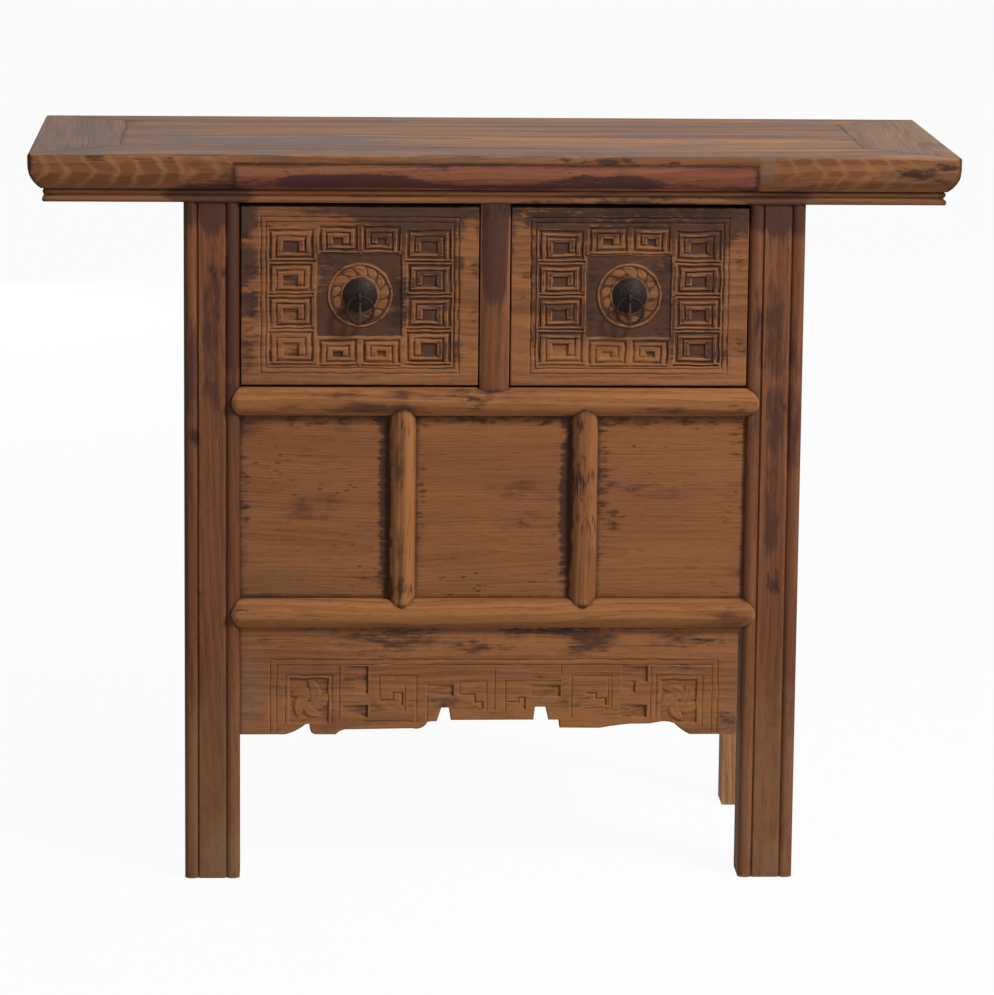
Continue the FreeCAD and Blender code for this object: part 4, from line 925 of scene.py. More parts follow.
@dataclass
class Relief:
    """A carved front: a height for each place, as depths below the face in millimetres."""

    node: str
    face: float
    back: float
    pitch: float
    seed: int = 1
    waver: float = 0.45
    wave: float = 34.0
    round_over: float = 1.4
    keeping: float = 1.0
    low: np.ndarray = field(default_factory=lambda: np.zeros(2))
    high: np.ndarray = field(default_factory=lambda: np.zeros(2))

    def depths(self, x: np.ndarray, z: np.ndarray) -> np.ndarray:
        """Depth of the carving at each place; a plain board has none."""
        return np.zeros_like(x)

    def lacquer(self, depth: np.ndarray, hollow: np.ndarray) -> np.ndarray:
        """More lacquer is left in the hollows than on the ridges, from -1 to 1."""
        left = 0.11 * smooth(0.9, 2.2, depth) + 0.13 * smooth(0.15, 0.9, self.blurred(depth, 14))
        return self.keeping * (left - 0.08 * smooth(0.1, 0.8, hollow))

    def waved(self, x: np.ndarray, z: np.ndarray) -> tuple[np.ndarray, np.ndarray]:
        """Shift places a little, so that long lines waver as if cut by hand."""
        return (x + self.waver * ripple(x, z, self.wave, self.seed),
                z + self.waver * ripple(x, z, self.wave, self.seed + 1))

    @staticmethod
    def groove(x: np.ndarray, z: np.ndarray, line: Segment, half: float,
               soft: float) -> np.ndarray:
        """How far a groove along a level or upright line is cut, 0 to 1.

        Args:
            x: Places across the face.
            z: Places up the face.
            line: The groove's two ends, or two far corners of a sunk box.
            half: Half of its width where it is half cut.
            soft: How far its sloping sides reach to each side of that.

        Returns:
            The share of its full depth.
        """
        left, right = sorted(line[::2])
        low, high = sorted(line[1::2])
        away = np.maximum(np.maximum(left - x, x - right), np.maximum(low - z, z - high))
        return smooth(half + soft, half - soft, away)

    def grooves(self, x: np.ndarray, z: np.ndarray, path: tuple, half: float,
                soft: float) -> np.ndarray:
        """How far a groove is cut that follows a path of level and upright runs."""
        return np.maximum.reduce([self.groove(x, z, (*start, *end), half, soft)
                                  for start, end in zip(path, path[1:])])

    def sunk(self, x: np.ndarray, z: np.ndarray, box: Segment, soft: float) -> np.ndarray:
        """How far a rectangle is sunk, 0 to 1."""
        return self.groove(x, z, box, 0, soft)

    def build(self, bench: Bench) -> bpy.types.Mesh:
        """Cut the front off the solid and put the carved skin in its place.

        Args:
            bench: Gives the copy of the solid.

        Returns:
            The mesh, with wear, and dirt with painted shade, written on it.
        """
        work = bench.copied(self.node)
        cut_plane(work, (0, self.back * MM, 0), (0, 1, 0), clear_inner=True)
        rim = np.array([[c for v in e.verts for c in (v.co.x / MM, v.co.z / MM)]
                        for e in work.edges if e.is_boundary])
        body_points = [tuple(v.co) for v in work.verts]
        work.verts.index_update()
        body_faces = [[v.index for v in f.verts] for f in work.faces]
        work.free()
        skin_points, skin_faces, aged = self.skin(rim)
        first = len(body_points)
        mesh = bpy.data.meshes.new(self.node + "_finished")
        mesh.from_pydata(body_points + skin_points, [],
                         body_faces + [[first + k for k in f] for f in skin_faces])
        for name, values in aged.items():
            rest = len(mesh.vertices) - first - len(values)
            Bench.write(mesh, name, np.pad(values, (first, rest)))
        return mesh

    def skin(self, rim: np.ndarray) -> tuple[list, list, dict[str, np.ndarray]]:
        """The carved face as a fine grid inside the rim, with a wall back to it.

        Args:
            rim: Segments of the board's outline.

        Returns:
            Points, faces, and by attribute how aged each point of the face is and how much painted
            shade lies on it.
        """
        self.low, self.high = rim.reshape(-1, 2).min(0), rim.reshape(-1, 2).max(0)
        count = np.maximum(2, np.round((self.high - self.low) / self.pitch).astype(int))
        x, z = np.meshgrid(*(np.linspace(self.low[k], self.high[k], count[k] + 1)
                             for k in (0, 1)), indexing="ij")
        inside = self.inside((x[:-1, :-1] + x[1:, 1:]) / 2, (z[:-1, :-1] + z[1:, 1:]) / 2, rim)
        depth = self.depths(x, z)
        hollow = self.blurred(depth, 3) - depth
        wear = smooth(0.05, 0.75, hollow) * 0.6 + smooth(0.7, 0.0, depth) * 0.1
        # Painted shade with dirt: darker in the grooves and in the deep places of the carving.
        dirt_and_shade = smooth(0.2, 1.3, -hollow) * 0.55 + smooth(1.4, 3.2, depth) * 0.25
        kept = self.lacquer(depth, hollow)
        used = np.zeros(x.shape, bool)
        for di in (0, 1):
            for dj in (0, 1):
                used[di:x.shape[0] - 1 + di, dj:x.shape[1] - 1 + dj] |= inside
        edge = self.on_edge(inside, x.shape) & used
        px, pz = x.copy(), z.copy()
        px[edge], pz[edge], _ = self.nearest(x[edge], z[edge], rim)
        _, _, away = self.nearest(px[used], pz[used], rim)
        lip = np.zeros_like(x)
        lip[used] = np.clip(self.round_over - away, 0, self.round_over)
        depth = depth + self.round_over - np.sqrt(
            np.clip(self.round_over ** 2 - lip ** 2, 0, None))
        wear = np.maximum(wear, lip / self.round_over * 0.8)
        number = -np.ones(x.shape, int)
        number[used] = np.arange(used.sum())
        points = np.stack([px[used] * MM, (self.face + depth[used]) * MM, pz[used] * MM], 1)
        i, j = np.nonzero(inside)
        quads = np.stack([number[i, j], number[i + 1, j], number[i + 1, j + 1],
                          number[i, j + 1]], 1)
        points, faces = points.tolist(), quads.tolist()
        self.wall(points, faces)
        return points, faces, {"wear": wear[used], "dirt_and_shade": dirt_and_shade[used],
                               Trace.LACQUER_AND_SHADE.value: kept[used]}

    def wall(self, points: list, faces: list) -> None:
        """Drop a wall from the skin's edge back to the board.

        Args:
            points: The skin's points, which the wall's are added to.
            faces: The skin's faces, which the wall's are added to.
        """
        sides = dict.fromkeys(side for face in faces for side in zip(face, face[1:] + face[:1]))
        behind = {}
        for a, b in [side for side in sides if side[::-1] not in sides]:
            for k in (a, b):
                if k not in behind:
                    behind[k] = len(points)
                    points.append([points[k][0], self.back * MM, points[k][2]])
            faces.append([b, a, behind[a], behind[b]])

    @staticmethod
    def blurred(values: np.ndarray, reach: int) -> np.ndarray:
        """Blur a grid of values.

        Args:
            values: The grid.
            reach: How many places to each side are taken in.

        Returns:
            The mean of the values round each place.
        """
        out = values.copy()
        for axis in (0, 1):
            padded = np.concatenate([np.repeat(out.take([0], axis), reach, axis), out,
                                     np.repeat(out.take([-1], axis), reach, axis)], axis)
            size = out.shape[axis]
            out = sum(padded.take(range(k, k + size), axis) for k in range(2 * reach + 1))
            out = out / (2 * reach + 1)
        return out

    @staticmethod
    def inside(x: np.ndarray, z: np.ndarray, rim: np.ndarray) -> np.ndarray:
        """Find which places lie inside the outline, by crossings.

        Args:
            x: Places across the face.
            z: Places up the face.
            rim: Segments of the outline.

        Returns:
            Whether each place does.
        """
        odd = np.zeros(x.shape, bool)
        for ax, az, bx, bz in rim:
            if az == bz:
                continue
            crosses = (z >= min(az, bz)) & (z < max(az, bz))
            odd ^= crosses & (x < ax + (z - az) * (bx - ax) / (bz - az))
        return odd

    @staticmethod
    def on_edge(inside: np.ndarray, shape: tuple) -> np.ndarray:
        """Find the corners of the grid that lie between a kept and a missing cell.

        Args:
            inside: Which cells are kept.
            shape: Size of the grid of corners.

        Returns:
            Whether each corner does.
        """
        padded = np.zeros((shape[0] + 1, shape[1] + 1), bool)
        padded[1:-1, 1:-1] = inside
        around = [padded[:-1, :-1], padded[1:, :-1], padded[:-1, 1:], padded[1:, 1:]]
        return ~(around[0] & around[1] & around[2] & around[3])

    @staticmethod
    def nearest(x: np.ndarray, z: np.ndarray, rim: np.ndarray) -> tuple:
        """Find the nearest point of the outline to each place.

        Args:
            x: Places across the face.
            z: Places up the face.
            rim: Segments of the outline.

        Returns:
            Where it is across and up, and how far away.
        """
        best = np.full(x.shape, 1e9)
        near_x, near_z = x.copy(), z.copy()
        for ax, az, bx, bz in rim:
            length = (bx - ax) ** 2 + (bz - az) ** 2
            share = np.clip(((x - ax) * (bx - ax) + (z - az) * (bz - az)) / length, 0, 1)
            cx, cz = ax + share * (bx - ax), az + share * (bz - az)
            away = np.hypot(x - cx, z - cz)
            closer = away < best
            best = np.where(closer, away, best)
            near_x = np.where(closer, cx, near_x)
            near_z = np.where(closer, cz, near_z)
        return near_x, near_z, best


@dataclass
class DrawerRelief(Relief):
    """The key fret, border and wreath on a drawer front."""

    border: tuple[float, float, float] = (23.5, 14.0, 12.5)
    border_pitch: float = 6.0
    cut_depth: float = 2.2
    fret_margin: float = 4.0
    fret_pitch: tuple[float, float] = (7.6, 6.4)
    wreath_out: float = 38.5
    wreath_in: float = 23.5
    wreath_ground: float = 1.6
    rim_inset: float = 1.6
    rim_half: float = 1.9
    rim_depth: float = 0.2
    centre_up: float = 108.0
    fine_groove: tuple[float, float] = (0.8, 0.75)
    outer_groove: tuple[float, float] = (1.5, 1.1)
    inner_groove: tuple[float, float] = (0.95, 0.9)

    FRET_SHARES = (
        (0.108, 0.698, 0.312, 0.882, False), (0.108, 0.512, 0.306, 0.690, False),
        (0.108, 0.320, 0.306, 0.504, False), (0.108, 0.118, 0.312, 0.312, False),
        (0.318, 0.742, 0.496, 0.902, False), (0.504, 0.742, 0.676, 0.902, True),
        (0.318, 0.112, 0.496, 0.268, False), (0.504, 0.112, 0.676, 0.268, True),
        (0.688, 0.698, 0.892, 0.882, True), (0.694, 0.512, 0.892, 0.690, True),
        (0.694, 0.320, 0.892, 0.504, True), (0.688, 0.118, 0.892, 0.312, True),
    )
    FIELD_SHARES = (0.318, 0.276, 0.676, 0.734)

    def shared(self, shares: tuple) -> Segment:
        """A box given as shares of the board, in millimetres."""
        size = self.high - self.low
        return (self.low[0] + shares[0] * size[0], self.low[1] + shares[1] * size[1],
                self.low[0] + shares[2] * size[0], self.low[1] + shares[3] * size[1])

    def depths(self, x: np.ndarray, z: np.ndarray) -> np.ndarray:
        """Carve the border, the fret, the sunk field and the wreath.

        Args:
            x: Places across the face.
            z: Places up the face.

        Returns:
            The depth at each place.
        """
        wx, wz = self.waved(x, z)
        cut = np.zeros_like(x)
        side, bottom, top = self.border
        for inset in (0.0, self.border_pitch):
            left, low = self.low[0] + side + inset, self.low[1] + bottom + inset
            right, high = self.high[0] - side - inset, self.high[1] - top - inset
            path = ((left, low), (left, high), (right, high), (right, low), (left, low))
            cut = np.maximum(cut, 0.6 * self.grooves(wx, wz, path, *self.fine_groove))
        for shares in self.FRET_SHARES:
            cut = np.maximum(cut, self.fret(wx, wz, self.shared(shares[:4]), shares[4]))
        depth = cut * self.cut_depth * (1 + 0.2 * ripple(x, z, 22, self.seed + 2))
        field_box = self.shared(self.FIELD_SHARES)
        depth = np.maximum(depth, self.sunk(wx, wz, field_box, 1.0) * self.cut_depth)
        return self.wreath(x, z, depth) + 0.14 * (1 + ripple(x, z, 15, self.seed + 3))

    def fret(self, x: np.ndarray, z: np.ndarray, box: Segment, turned: bool) -> np.ndarray:
        """One square spiral whose groove ends in a sunk pocket, with a gap under it.

        Args:
            x: Places across the face.
            z: Places up the face.
            box: Left, bottom, right and top of the spiral.
            turned: Whether it is turned over sideways.

        Returns:
            The share of the full depth, over 1 in the pocket and the gap.
        """
        across, up = box[2] - x if turned else x - box[0], z - box[1]
        width, height = box[2] - box[0], box[3] - box[1]
        edge, (wide, tall) = self.fret_margin, self.fret_pitch
        right, high = width - edge, height - edge
        outer = ((edge, edge), (edge, high), (right, high), (right, edge), (edge + wide, edge))
        inner = ((edge + wide, edge), (edge + wide, high - tall), (right - wide, high - tall),
                 (right - wide, edge + tall), (edge + 2 * wide, edge + tall))
        pocket = (edge + 2 * wide, edge + tall - 1, right - 2 * wide, high - 2 * tall + 0.6)
        gap = (edge, -0.6, width - 1, -0.6)
        return np.maximum.reduce([
            self.grooves(across, up, outer, *self.outer_groove),
            0.8 * self.grooves(across, up, inner, *self.inner_groove),
            1.2 * self.sunk(across, up, pocket, 1.0), self.groove(across, up, gap, 0.8, 0.8)])

    def wreath(self, x: np.ndarray, z: np.ndarray, depth: np.ndarray) -> np.ndarray:
        """Raise the wreath's rim and inner ring out of the sunk field.

        Args:
            x: Places across the face.
            z: Places up the face.
            depth: Depth of the rest of the carving.

        Returns:
            The depth with the wreath in it.
        """
        middle = (self.low[0] + self.high[0]) / 2
        radius = np.hypot(x - middle, z - self.low[1] - self.centre_up)
        radius = radius + 0.3 * ripple(x, z, 20, self.seed + 4)
        crest = self.wreath_out - self.rim_inset
        rim = np.clip(1 - ((radius - crest) / self.rim_half) ** 2, 0, 1)
        seat = smooth(self.wreath_in + 0.8, self.wreath_in - 1.2, radius)
        ground = np.where(radius < self.wreath_out, self.wreath_ground, depth)
        height = self.cut_depth - self.rim_depth
        raised = np.minimum(ground, self.cut_depth - height * np.sqrt(rim)) * (1 - seat)
        return np.where(radius < self.wreath_out + 1, raised, depth)


@dataclass
class ApronRelief(Relief):
    """The border lines, fret, pockets and leaf squares along the apron."""

    seed: int = 7
    keeping: float = 0.12
    line_depth: float = 1.2
    line_groove: tuple[float, float] = (0.62, 0.6)
    key_depth: float = 1.9
    key_groove: tuple[float, float] = (0.8, 0.75)
    heart_half: float = 1.4
    heart_extra: float = 0.5
    leaf_depth: float = 2.5

    LINES = (
        ((-265.7, 150), (-265.7, 269.2), (273.6, 269.2), (273.6, 150)),
        ((-258.3, 150), (-258.3, 262.9), (266.6, 262.9), (266.6, 150)),
        ((-247.5, 192), (-247.5, 250.2), (-191.6, 250.2), (-191.6, 192)),
        ((199.6, 196), (199.6, 250), (255.4, 250), (255.4, 186)),
        ((-89.6, 193), (-89.6, 249.3), (-134.1, 249.3), (-134.1, 219.5)),
        ((-153.7, 193.3), (-96, 193.3)), ((-103.4, 206), (-103.4, 236)),
        ((-76.6, 192), (-76.6, 240)), ((4.4, 206), (4.4, 258)),
        ((-5.5, 202.5), (-5.5, 242.2), (-37.5, 242.2), (-37.5, 226)),
        ((18, 203), (18, 242.8), (84.1, 242.8)), ((84.1, 251), (84.1, 262)),
        ((97.2, 197), (97.2, 249.3), (145.2, 249.3), (145.2, 209), (115.2, 209)),
        ((141.2, 213), (141.2, 245)), ((-182.5, 196), (-182.5, 262)),
        ((192.6, 196), (192.6, 262)),
    )
    KEYS = (
        ((-134.1, 219.5), (-117.7, 219.5), (-117.7, 228.5), (-107, 228.5), (-107, 213)),
        ((-35.5, 226.5), (-19.8, 226.5), (-19.8, 217), (-11.5, 217), (-11.5, 209)),
        ((20, 217.5), (33, 217.5), (33, 222), (40.5, 222), (40.5, 208.6)),
        ((115.2, 228), (126.2, 228), (126.2, 221.5), (138.2, 221.5), (138.2, 212.6)),
    )
    POCKETS = ((-177.4, 241.5, -148.1, 261.2), (-163.2, 227.9, -148.1, 242.5),
               (-179.3, 198.4, -148.1, 213.1), (-76.0, 224.5, -44.5, 238.1),
               (48.1, 224, 83.4, 238.1), (157.3, 241.5, 188.3, 261.2),
               (157.3, 229, 174.3, 242.5), (155.3, 198.4, 188.3, 213.7))
    LEAF_SQUARES = ((-242.5, 191.3, -195.8, 246.8), (205.3, 191.3, 248.4, 245.3))

    def depths(self, x: np.ndarray, z: np.ndarray) -> np.ndarray:
        """Carve the lines, keys, pockets and leaf squares.

        Args:
            x: Places across the face.
            z: Places up the face.

        Returns:
            The depth at each place.
        """
        wx, wz = self.waved(x, z)
        depth = np.zeros_like(x)
        for path in self.LINES:
            cut = self.grooves(wx, wz, path, *self.line_groove)
            depth = np.maximum(depth, self.line_depth * cut)
        for path in self.KEYS:
            cut = self.key_depth * self.grooves(wx, wz, path, *self.key_groove)
            last, end = path[-2:]
            heart = (last[0] - self.heart_half, end[1], last[0] + self.heart_half, last[1])
            sunk = self.sunk(wx, wz, heart, 0.6) * (self.key_depth + self.heart_extra)
            depth = np.maximum.reduce([depth, cut, sunk])
        for left, low, right, high in self.POCKETS:
            slope = np.clip((x - left) / (right - left), 0, 1) ** 1.4
            sunk = self.sunk(wx, wz, (left, low, right, high), 0.55)
            depth = np.maximum(depth, sunk * (0.9 + 2.5 * slope))
        for box in self.LEAF_SQUARES:
            depth = np.maximum(depth, self.sunk(wx, wz, box, 0.6) * self.leaf_depth)
        return depth + 0.1 * (1 + ripple(x, z, 15, self.seed + 3))


class Pattern:
    """A Geometry Nodes tree with named inputs, baked to a plain mesh."""

    KINDS = {int: "NodeSocketInt", float: "NodeSocketFloat",
             bpy.types.Material: "NodeSocketMaterial"}

    def __init__(self, name: str, inputs: dict[str, type]) -> None:
        """Start a tree that takes a mesh and the given inputs.

        Args:
            name: Name of the tree.
            inputs: Its other inputs, by name and kind.
        """
        self.tree = bpy.data.node_groups.new(name, "GeometryNodeTree")
        sockets = self.tree.interface.new_socket
        sockets("Piece", in_out="INPUT", socket_type="NodeSocketGeometry")
        for title, kind in inputs.items():
            sockets(title, in_out="INPUT", socket_type=self.KINDS[kind])
        sockets("Made", in_out="OUTPUT", socket_type="NodeSocketGeometry")
        self.wiring = Wiring(self.tree)
        self.given = self.wiring.add("NodeGroupInput").outputs

    def end(self, shape: Socket) -> None:
        """Realize the instances, set the finish and give out the result.

        Args:
            shape: What the tree has made.
        """
        real = self.wiring.out("GeometryNodeRealizeInstances", {"Geometry": shape})
        dressed = self.wiring.out("GeometryNodeSetMaterial", {
            "Geometry": real, "Material": self.given["Finish"]})
        self.wiring.add("NodeGroupOutput", {0: dressed})

    def bake(self, name: str, piece: bpy.types.Mesh, values: dict) -> bpy.types.Mesh:
        """Run the tree on a mesh once.

        Args:
            name: Name of the result.
            piece: The mesh that the tree takes.
            values: Its other inputs, by name.

        Returns:
            The plain mesh that it makes.
        """
        holder = bpy.data.objects.new(name, piece)
        bpy.context.scene.collection.objects.link(holder)
        modifier = holder.modifiers.new(self.tree.name, "NODES")
        modifier.node_group = self.tree
        for socket in self.tree.interface.items_tree:
            if socket.in_out == "INPUT" and socket.name in values:
                modifier[socket.identifier] = values[socket.name]
        ready = holder.evaluated_get(bpy.context.evaluated_depsgraph_get())
        mesh = bpy.data.meshes.new_from_object(ready)
        holder.modifiers.remove(modifier)
        bpy.data.objects.remove(holder)
        mesh.name = name
        return mesh

    @classmethod
    def mitred_strip(cls) -> "Pattern":
        """Sweep a profile along a line, cut to a mitre at both ends and lightly dented.

        Returns:
            The finished tree.
        """
        made = cls("mitred_strip", {"Half Length": float, "Stations": int, "Dents": float,
                                    "Seed": int, "Finish": bpy.types.Material})
        out, sums, given = made.wiring.out, made.wiring.math, made.given
        line = out("GeometryNodeCurvePrimitiveLine", {"Start": (0, 0, -1), "End": (0, 0, 1)})
        rail = out("GeometryNodeResampleCurve", {"Curve": line, "Count": given["Stations"]})
        profile = out("GeometryNodeMeshToCurve", {0: given["Piece"]})
        strip = out("GeometryNodeCurveToMesh", {
            "Curve": rail, "Profile Curve": profile, "Fill Caps": True})
        depth, height, share = made.position()
        along = sums("MULTIPLY", share, sums("SUBTRACT", given["Half Length"], depth))
        flat = out("ShaderNodeCombineXYZ", {0: along, 1: height})
        worn = out("ShaderNodeTexNoise", {
            "W": given["Seed"], "Scale": 9.0, "Detail": 3.0, "Vector": flat},
            noise_dimensions="4D")
        inset = sums("MULTIPLY", worn, given["Dents"])
        place = out("ShaderNodeCombineXYZ", {0: sums("ADD", depth, inset), 1: height, 2: along})
        made.end(out("GeometryNodeSetPosition", {"Geometry": strip, "Position": place}))
        return made

    @classmethod
    def leaf_ring(cls) -> "Pattern":
        """Set leaves round a circle, each a little different in size.

        Returns:
            The finished tree.
        """
        made = cls("leaf_ring", {"Count": int, "Ring Radius": float, "Turn": float,
                                 "Lean": float, "Uneven": float, "Seed": int,
                                 "Finish": bpy.types.Material})
        out, sums, given = made.wiring.out, made.wiring.math, made.given
        circle = out("GeometryNodeMeshCircle", {
            "Vertices": given["Count"], "Radius": given["Ring Radius"]})
        across, up, _ = made.position()
        angle = sums("ADD", sums("ARCTAN2", up, across), given["Lean"])
        turned = out("FunctionNodeEulerToRotation", {0: out("ShaderNodeCombineXYZ", {2: angle})})
        size = made.wiring.add("FunctionNodeRandomValue", {
            2: sums("SUBTRACT", 1.0, given["Uneven"]),
            3: sums("ADD", 1.0, given["Uneven"]), "Seed": given["Seed"]}).outputs[1]
        leaves = out("GeometryNodeInstanceOnPoints", {
            "Points": circle, "Instance": given["Piece"], "Rotation": turned, "Scale": size})
        start = out("ShaderNodeCombineXYZ", {2: given["Turn"]})
        made.end(out("GeometryNodeTransform", {"Geometry": leaves, "Rotation": start}))
        return made

    def position(self) -> tuple[Socket, Socket, Socket]:
        """The three parts of each point's place."""
        place = self.wiring.out("GeometryNodeInputPosition")
        return tuple(self.wiring.add("ShaderNodeSeparateXYZ", {0: place}).outputs)


def leaf_shape(length: float, width: float, height: float, bend: float) -> bpy.types.Mesh:
    """A closed leaf that lies flat, pointed at its outer end and with a sunk midrib.

    Args:
        length: From stalk to tip, along X, in millimetres.
        width: Across its widest part, along Y.
        height: Of its crown, along Z.
        bend: How far its ends curl to one side.

    Returns:
        The leaf, with its own wear, and dirt with painted shade.
    """
    stations, across = 9, 8
    points, age = [], []
    for level in (1, -1):
        for i in range(stations):
            share = i / (stations - 1)
            half = width / 2 * math.sin(math.pi * share ** 0.8) ** 0.75
            for j in range(across + 1):
                side = 2 * j / across - 1
                crown = math.sqrt(max(0.0, 1 - side ** 2)) * math.sin(math.pi * share) ** 0.5
                rib = 0.4 * math.exp(-(side / 0.2) ** 2)
                rise = height * crown * (1 - rib) if level > 0 else -0.5 * crown
                curl = bend * (2 * share - 1) ** 2
                points.append(Vector((length * (share - 0.5), half * side + curl, rise)) * MM)
                # Wear on the crown; dirt with painted shade along the leaf's low edges and in its
                # midrib.
                age.append((0.25 * crown * (1 - rib), max(0.0, 1 - crown * 1.4) + rib))
    row = across + 1
    faces = []
    for base, order in ((0, 1), (stations * row, -1)):
        for i in range(stations - 1):
            for j in range(across):
                a = base + i * row + j
                faces.append((a, a + row, a + row + 1, a + 1)[::order])
    leaf = bpy.data.meshes.new("leaf")
    leaf.from_pydata(points, [], faces)
    for name, values in zip(("wear", "dirt_and_shade"), np.array(age).T):
        Bench.write(leaf, name, values)
    work = bmesh.new()
    work.from_mesh(leaf)
    bmesh.ops.remove_doubles(work, verts=work.verts, dist=WELDED)
    bmesh.ops.recalc_face_normals(work, faces=work.faces)
    work.to_mesh(leaf)
    work.free()
    return leaf


@dataclass(frozen=True)
class LeafRing:
    """Leaves round a circle: their length, width, height and bend, and how they are set."""

    leaf: tuple[float, float, float, float]
    count: int
    radius: float
    lean: float
    uneven: float

    def carve(self, name: str, place: tuple[float, float, float], turn: float, seed: int,
              finish: bpy.types.Material) -> bpy.types.Mesh:
        """Make the ring and stand it up to face the front.

        Args:
            name: Name of its mesh.
            place: Its middle, in millimetres.
            turn: Turns the whole ring.
            seed: Picks the sizes of the leaves.
            finish: Its material.

        Returns:
            The ring as a plain mesh.
        """
        ring = Pattern.leaf_ring().bake(name, leaf_shape(*self.leaf), {
            "Count": self.count, "Ring Radius": self.radius * MM, "Turn": turn,
            "Lean": self.lean, "Uneven": self.uneven, "Seed": seed, "Finish": finish})
        move = Matrix.Translation(Vector(place) * MM)
        ring.transform(move @ Matrix.Rotation(math.pi / 2, 4, "X"))
        return ring


def joined(first: bpy.types.Mesh, second: bpy.types.Mesh) -> bpy.types.Mesh:
    """Join two meshes, with the wear, the dirt and painted shade, and the lacquer of both.

    Args:
        first: The mesh that gives the name.
        second: The mesh added to it.

    Returns:
        A new mesh.
    """
    points = [tuple(v.co) for mesh in (first, second) for v in mesh.vertices]
    count = len(first.vertices)
    faces = [tuple(p.vertices) for p in first.polygons]
    faces += [tuple(count + k for k in p.vertices) for p in second.polygons]
    both = bpy.data.meshes.new(first.name)
    both.from_pydata(points, [], faces)
    for name in ("wear", "dirt_and_shade", Trace.LACQUER_AND_SHADE.value):
        Bench.write(both, name, np.concatenate([Bench.read(m, name) for m in (first, second)]))
    return both


@dataclass
class Assembly:
    """A part of the table, with the finishes for its pieces."""

    finishes: Finishes


@dataclass
class TopAssembly(Assembly):
    """The framed top, its let-in front strip and the battens under it."""

    board_arris: float = 1.2 * MM
    field_arris: float = 0.6 * MM
    strip_arris: float = 0.5 * MM
    batten_arris: float = 0.8 * MM
    fine: float = 0.008
    coarse: float = 0.05

    def build(self, bench: Bench) -> None:
        """Make and dress the boards.

        Args:
            bench: Where pieces are made.
        """
        for side in ("front", "back", "left", "right"):
            long = side in ("front", "back")
            finish = self.finishes.top if long else self.finishes.top_end
            bench.timber("top_board_" + side, finish, Grain.ACROSS if long else Grain.DEEP,
                         self.board_arris, self.fine, self.finishes.edge)
        bench.timber("top_field_panel", self.finishes.top, Grain.ACROSS, self.field_arris)
        bench.timber("front_edge_strip", self.finishes.red, Grain.ACROSS, self.strip_arris,
                     self.fine)
        for side in ("left", "right"):
            bench.timber("top_batten_" + side, self.finishes.bare, Grain.DEEP,
                         self.batten_arris, self.coarse)


@dataclass
class FrontFrame(Assembly):
    """Legs, rails, stiles and fixed panels."""

    leg_arris: float = 1.0 * MM
    back_leg_arris: float = 1.2 * MM
    divider_arris: float = 0.8 * MM
    finest: float = 0.007
    fine: float = 0.009
    coarse: float = 0.03

    def build(self, bench: Bench) -> None:
        """Make and dress every piece of the front and the legs.

        Args:
            bench: Where pieces are made.
        """
        wood = self.finishes
        for side in ("left", "right"):
            bench.timber("leg_front_" + side, wood.dark, Grain.UPRIGHT, self.leg_arris,
                         self.fine)
            bench.timber("leg_back_" + side, wood.pale_leg, Grain.UPRIGHT,
                         self.back_leg_arris, self.coarse)
            bench.timber("front_stile_" + side, wood.worn, Grain.UPRIGHT, 0, self.finest)
        for level in ("middle", "lower"):
            bench.timber("front_rail_" + level, wood.worn, Grain.ACROSS, 0, self.fine)
        bench.timber("drawer_divider", wood.dark, Grain.UPRIGHT, self.divider_arris, self.fine)
        for place in ("left", "centre", "right"):
            bench.timber("front_panel_" + place, wood.panel, Grain.ACROSS, 0, self.finest)


@dataclass
class EdgeMoulding(Assembly):
    """The beaded strip under the top, swept along each side between its mitres."""

    stations: int = 90
    dents: float = 0.3 * MM
    dent_seed: int = 3
    grain_seed: int = 60

    WAYS = {"front": ((0, 1, 0), (1, 0, 0)), "back": ((0, -1, 0), (-1, 0, 0)),
            "left": ((1, 0, 0), (0, -1, 0)), "right": ((-1, 0, 0), (0, 1, 0))}

    def build(self, bench: Bench) -> None:
        """Sweep and dress the four strips.

        Args:
            bench: Where pieces are made.
        """
        for number, (side, (inward, along)) in enumerate(self.WAYS.items()):
            node = "edge_moulding_" + side
            low, high = (Vector(corner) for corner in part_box(node))
            middle = (low + high) / 2
            half = (high - low) / 2
            turn = Matrix((inward, (0, 0, 1), along)).transposed()
            outer = middle - Vector(inward) * abs(half.dot(Vector(inward)))
            place = Matrix.Translation(outer) @ turn.to_4x4()
            work = bench.copied(node)
            arrises, corners = bench.sharp_places(work, True), bench.sharp_places(work, False)
            profile = self.section(work, outer, Vector(along), place)
            mesh = Pattern.mitred_strip().bake(node + "_finished", profile, {
                "Half Length": abs(half.dot(Vector(along))), "Stations": self.stations,
                "Dents": self.dents, "Seed": number + self.dent_seed,
                "Finish": bench.dressed(self.finishes.moulding)})
            mesh.transform(place)
            grain = Grain.ACROSS if side in ("front", "back") else Grain.DEEP
            bench.mark(mesh, node, grain, arrises, corners, seed=number + self.grain_seed)
            bench.deliver(mesh, node, self.finishes.moulding)

    @staticmethod
    def section(work: bmesh.types.BMesh, origin: Vector, along: Vector,
                place: Matrix) -> bpy.types.Mesh:
        """The strip's profile where it is cut across its middle.

        Args:
            work: The merged solid, used up here.
            origin: A point of the cutting plane.
            along: The strip's direction.
            place: Turns the flat profile into the row frame.

        Returns:
            A closed loop of edges, with the depth from the face as X and the height as Y.
        """
        cut_plane(work, origin, along, clear_inner=True, clear_outer=True)
        bmesh.ops.transform(work, matrix=place.inverted(), verts=work.verts)
        return settled(work, "strip_profile")


